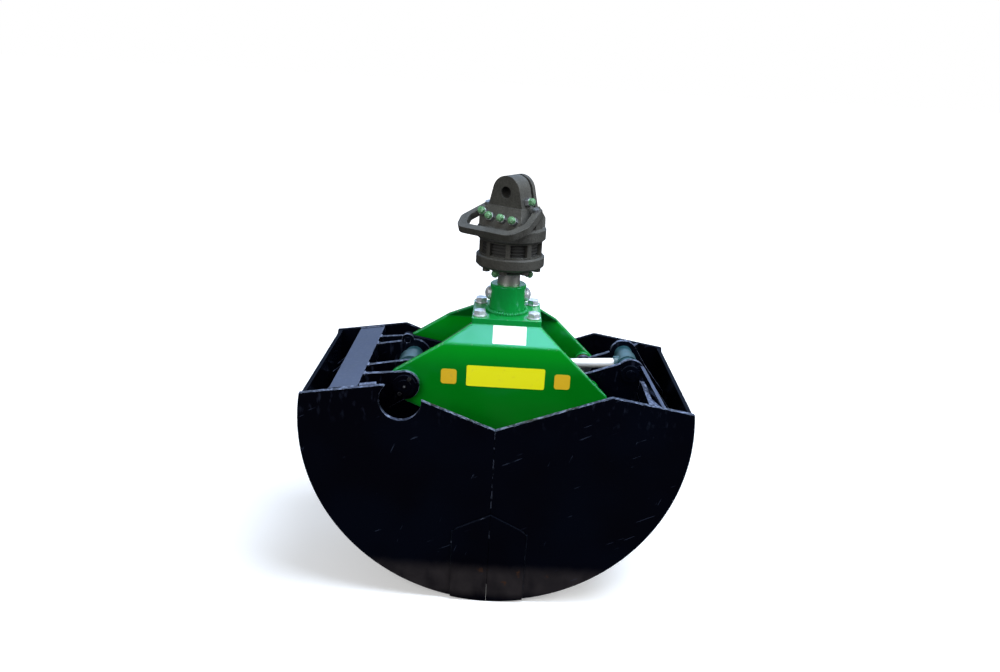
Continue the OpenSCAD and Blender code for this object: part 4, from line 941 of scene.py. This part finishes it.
# %% Close the ports
FRONT_WAY = (-0.5081, -0.7256, 0.4640)
CAP_FEET = [((-65.98, -15.78, -42.62), FRONT_WAY),
            ((-50.23, -31.64, -50.18), FRONT_WAY),
            ((-25.09, -49.78, -51.02), FRONT_WAY),
            ((-0.77, -67.35, -51.86), FRONT_WAY),
            ((35.58, -35.90, -15.82), (0.7948, -0.5565, 0.2419)),
            ((-28.94, -41.33, -172.08), (-0.5390, -0.7698, -0.3420)),
            ((41.33, -28.94, -172.08), (0.7698, -0.5390, -0.3420))]
SKIRT, HEXAGON, BUTTON = (0.0079, 0.0024), (0.0142, 0.0070), (0.0052, 0.0022)
HEXAGON_FOOT, BUTTON_FOOT = 0.0020, 0.0088
CAP_RIM = 0.0005
one_cap = joined([bevelled_disc(*SKIRT, rise(0), CAP_RIM),
                  hexagon_head(*HEXAGON, rise(HEXAGON_FOOT)),
                  bevelled_disc(*BUTTON, rise(BUTTON_FOOT), CAP_RIM)])
caps = []
for foot, way in CAP_FEET:
    only(one_cap)
    bpy.ops.object.duplicate()
    cap = bpy.context.object
    cap.rotation_euler = rise(1).rotation_difference(Vector(way)).to_euler()
    cap.location = Vector(foot) / 1000
    caps.append(cap)
bpy.data.objects.remove(one_cap)
port_caps = hand_over(joined(caps), "port_cap_set", cap_green, "housing")
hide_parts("port_caps")
print("caps:", len(CAP_FEET), "with", len(port_caps.data.polygons), "faces")

# %% [markdown]
# ## Panels on the head
#
# The front of the head carries a white panel on its leaning part and a long yellow one below
# the fold, with a small amber one at each side. Each is a thin plain sheet with rounded corners:
# a rectangle whose corners are bevelled as vertices, then given a thickness. Coloured areas in
# the paint itself would be flat, while a sheet has an edge that catches the light, as a film does.
# Above the fold the plate leans back at an angle of 36 up to 39 back.

# %% Model a panel
FRONT_FACE_Y, FOLD_Z = -114.0, 91.0
HEAD_LEAN = math.atan2(36, 39)
PANEL_THICK = 0.0004


def sticker(name, corner_low, corner_high, finish, lean=None, radius=0.004):
    """A panel between two corners: x and z on the upright face, x and way up a leaning one."""
    size = Vector(corner_high) - Vector(corner_low)
    middle = (Vector(corner_high) + Vector(corner_low)) / 2
    start_clean()
    bpy.ops.mesh.primitive_plane_add(size=1)
    panel = bpy.context.object
    panel.scale = (size.x / 1000, size.y / 1000, 1)
    bpy.ops.object.transform_apply(location=False, rotation=False, scale=True)
    bpy.ops.object.mode_set(mode="EDIT")
    bpy.ops.mesh.select_all(action="SELECT")
    bpy.ops.mesh.bevel(offset=radius, segments=5, affect="VERTICES")
    thicken(PANEL_THICK)
    if lean is None:
        panel.rotation_euler = (math.pi / 2, 0, 0)
        panel.location = on_drawing(middle.x, FRONT_FACE_Y, middle.y)
    else:
        panel.rotation_euler = (lean, 0, 0)
        run = Vector((0, math.cos(lean), math.sin(lean))) * middle.y / 1000
        panel.location = on_drawing(middle.x, FRONT_FACE_Y, FOLD_Z) + run
    hand_over(panel, name, finish, "head", smooth=20)


print("the head's plate leans", round(math.degrees(HEAD_LEAN), 1), "degrees off the level")

# %% [markdown]
# The panels are cut from coloured film, which is even in colour and a little scuffed. A scuff is
# duller and rougher than the film round it, and one mask sets both.

# %% Stick the panels on
def panel_film(name, colour, worn_colour):
    film = Finish(name)
    scuffs = film.noise(0.012, 4.0).ease(0.62, 0.74)
    film.set(Base_Color=film.mix(scuffs * 0.35, colour, worn_colour),
             Roughness=scuffs * 0.2 + 0.32)
    film.bumps(film.noise(0.02, 1.0), 0.0001)
    return film.material


white_film = panel_film("white_film", tint(0.80, 0.80, 0.78), tint(0.62, 0.63, 0.60))
yellow_film = panel_film("yellow_film", tint(1.0, 0.98, 0.010), tint(0.86, 0.80, 0.03))
amber_film = panel_film("amber_film", tint(0.84, 0.53, 0.022), tint(0.62, 0.42, 0.05))
sticker("white_panel", (-17, 6.0), (55, 51.3), white_film, lean=HEAD_LEAN, radius=0.002)
sticker("yellow_panel", (-69, -2.5), (100, 45), yellow_film)
sticker("left_amber_panel", (-124, 0), (-90, 34), amber_film, radius=0.006)
sticker("right_amber_panel", (121, 1), (155, 35), amber_film, radius=0.006)
print("four plain panels on the head")

# %% [markdown]
# ## Floor
#
# The bucket stands on a plain white ground that fades into a white distance. To the camera the
# ground is white, with a little light of its own and more of it from 0.4 to 4 metres away, and
# it still keeps the shadow. To every other ray it is dark earth, so the black plates mirror earth
# and stay black. A floor that is white to all rays would be simpler, but the gloss would mirror
# it and turn grey.

# %% Lay the floor
FLOOR_SIZE, FLOOR_GAP = 60, 0.0006
DARK_EARTH, PALE_GROUND = tint(0.050, 0.048, 0.056), tint(0.82, 0.82, 0.82)
NO_LIGHT, WHITE = tint(0, 0, 0), tint(1, 1, 1)
FADE = (0.4, 4.0)

start_clean()
bpy.ops.mesh.primitive_plane_add(size=FLOOR_SIZE, location=rise(solid_low.z - FLOOR_GAP))
floor = bpy.context.object
floor.name = "floor"
ground = Finish("floor_white", Roughness=0.9, Specular_IOR_Level=0.0, Emission_Strength=1.0)
seen = ground.node("ShaderNodeLightPath", output="Is Camera Ray")
away = ground.node("ShaderNodeVectorMath", {"operation": "LENGTH"},
                   {0: ground.node("ShaderNodeTexCoord", output="Object")}, "Value")
glow = ground.mix(away.ease(*FADE) * 0.75 + 0.30, NO_LIGHT, WHITE)
ground.set(Base_Color=ground.mix(seen, DARK_EARTH, PALE_GROUND),
           Emission_Color=ground.mix(seen, NO_LIGHT, glow))
floor.data.materials.append(ground.material)
floor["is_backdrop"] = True
print("floor at", round(floor.location.z, 4))

# %% [markdown]
# ## Light
#
# The light is soft and comes from four panels that face the middle of the bucket. The one
# overhead draws the pale sheen on the leaning plates, the blue one behind gives the cross bars
# and all upper edges the tone of a sky, the broad one in front lights the green, and one on the
# right opens the shadows there. Small lamps would leave hard white spots on the gloss. The sky is
# white to the camera and dim as a light.

# %% Set the lights
def softbox(name, place, aim, wide, deep, watts, colour):
    bpy.ops.object.light_add(type="AREA", location=place)
    lamp = bpy.context.object
    lamp.name = name
    lamp.data.shape = "RECTANGLE"
    lamp.data.size, lamp.data.size_y = wide, deep
    lamp.data.energy = watts
    lamp.data.color = colour
    lamp.rotation_euler = (Vector(aim) - Vector(place)).to_track_quat("-Z", "Y").to_euler()


MIDDLE = (0, 0, -0.4)
SKY_AS_LIGHT, SKY_SEEN = 0.24, 1.0
softbox("overhead", (0.85, -0.45, 2.1), MIDDLE, 1.9, 2.0, 122, (0.76, 0.86, 1.0))
softbox("front", (-1.7, -2.9, 1.3), MIDDLE, 2.0, 2.0, 64, (1.0, 0.99, 0.97))
softbox("right_side", (2.8, -0.6, 0.9), MIDDLE, 1.6, 1.6, 42, (0.96, 0.98, 1.0))
softbox("behind", (0.0, 3.2, 1.6), MIDDLE, 4.5, 1.8, 52, (0.44, 0.66, 1.0))

world = bpy.data.worlds.new("room")
bpy.context.scene.world = world
world.use_nodes = True
sky = world.node_tree.nodes["Background"]
ray = world.node_tree.nodes.new("ShaderNodeLightPath")
shown = world.node_tree.nodes.new("ShaderNodeMapRange")
shown.inputs["To Min"].default_value = SKY_AS_LIGHT
shown.inputs["To Max"].default_value = SKY_SEEN
world.node_tree.links.new(ray.outputs["Is Camera Ray"], shown.inputs["Value"])
world.node_tree.links.new(shown.outputs[0], sky.inputs["Strength"])
sky.inputs["Color"].default_value = WHITE
bpy.context.scene.view_settings.view_transform = "Standard"
print("four soft lamps and a sky")

# %% [markdown]
# ## Sizes
#
# The dressed model must stay inside the box of its solids, or parts that fit in the drawing would
# no longer fit in the picture. Both boxes are measured, and how far the dressed one grows past the
# solids' box is printed.

# %% Measure the sizes
dressed_low, dressed_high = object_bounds()
grown = (*(solid_low - dressed_low), *(dressed_high - solid_high))
print("grown by", [round(v * 1000, 2) for v in grown], "mm")
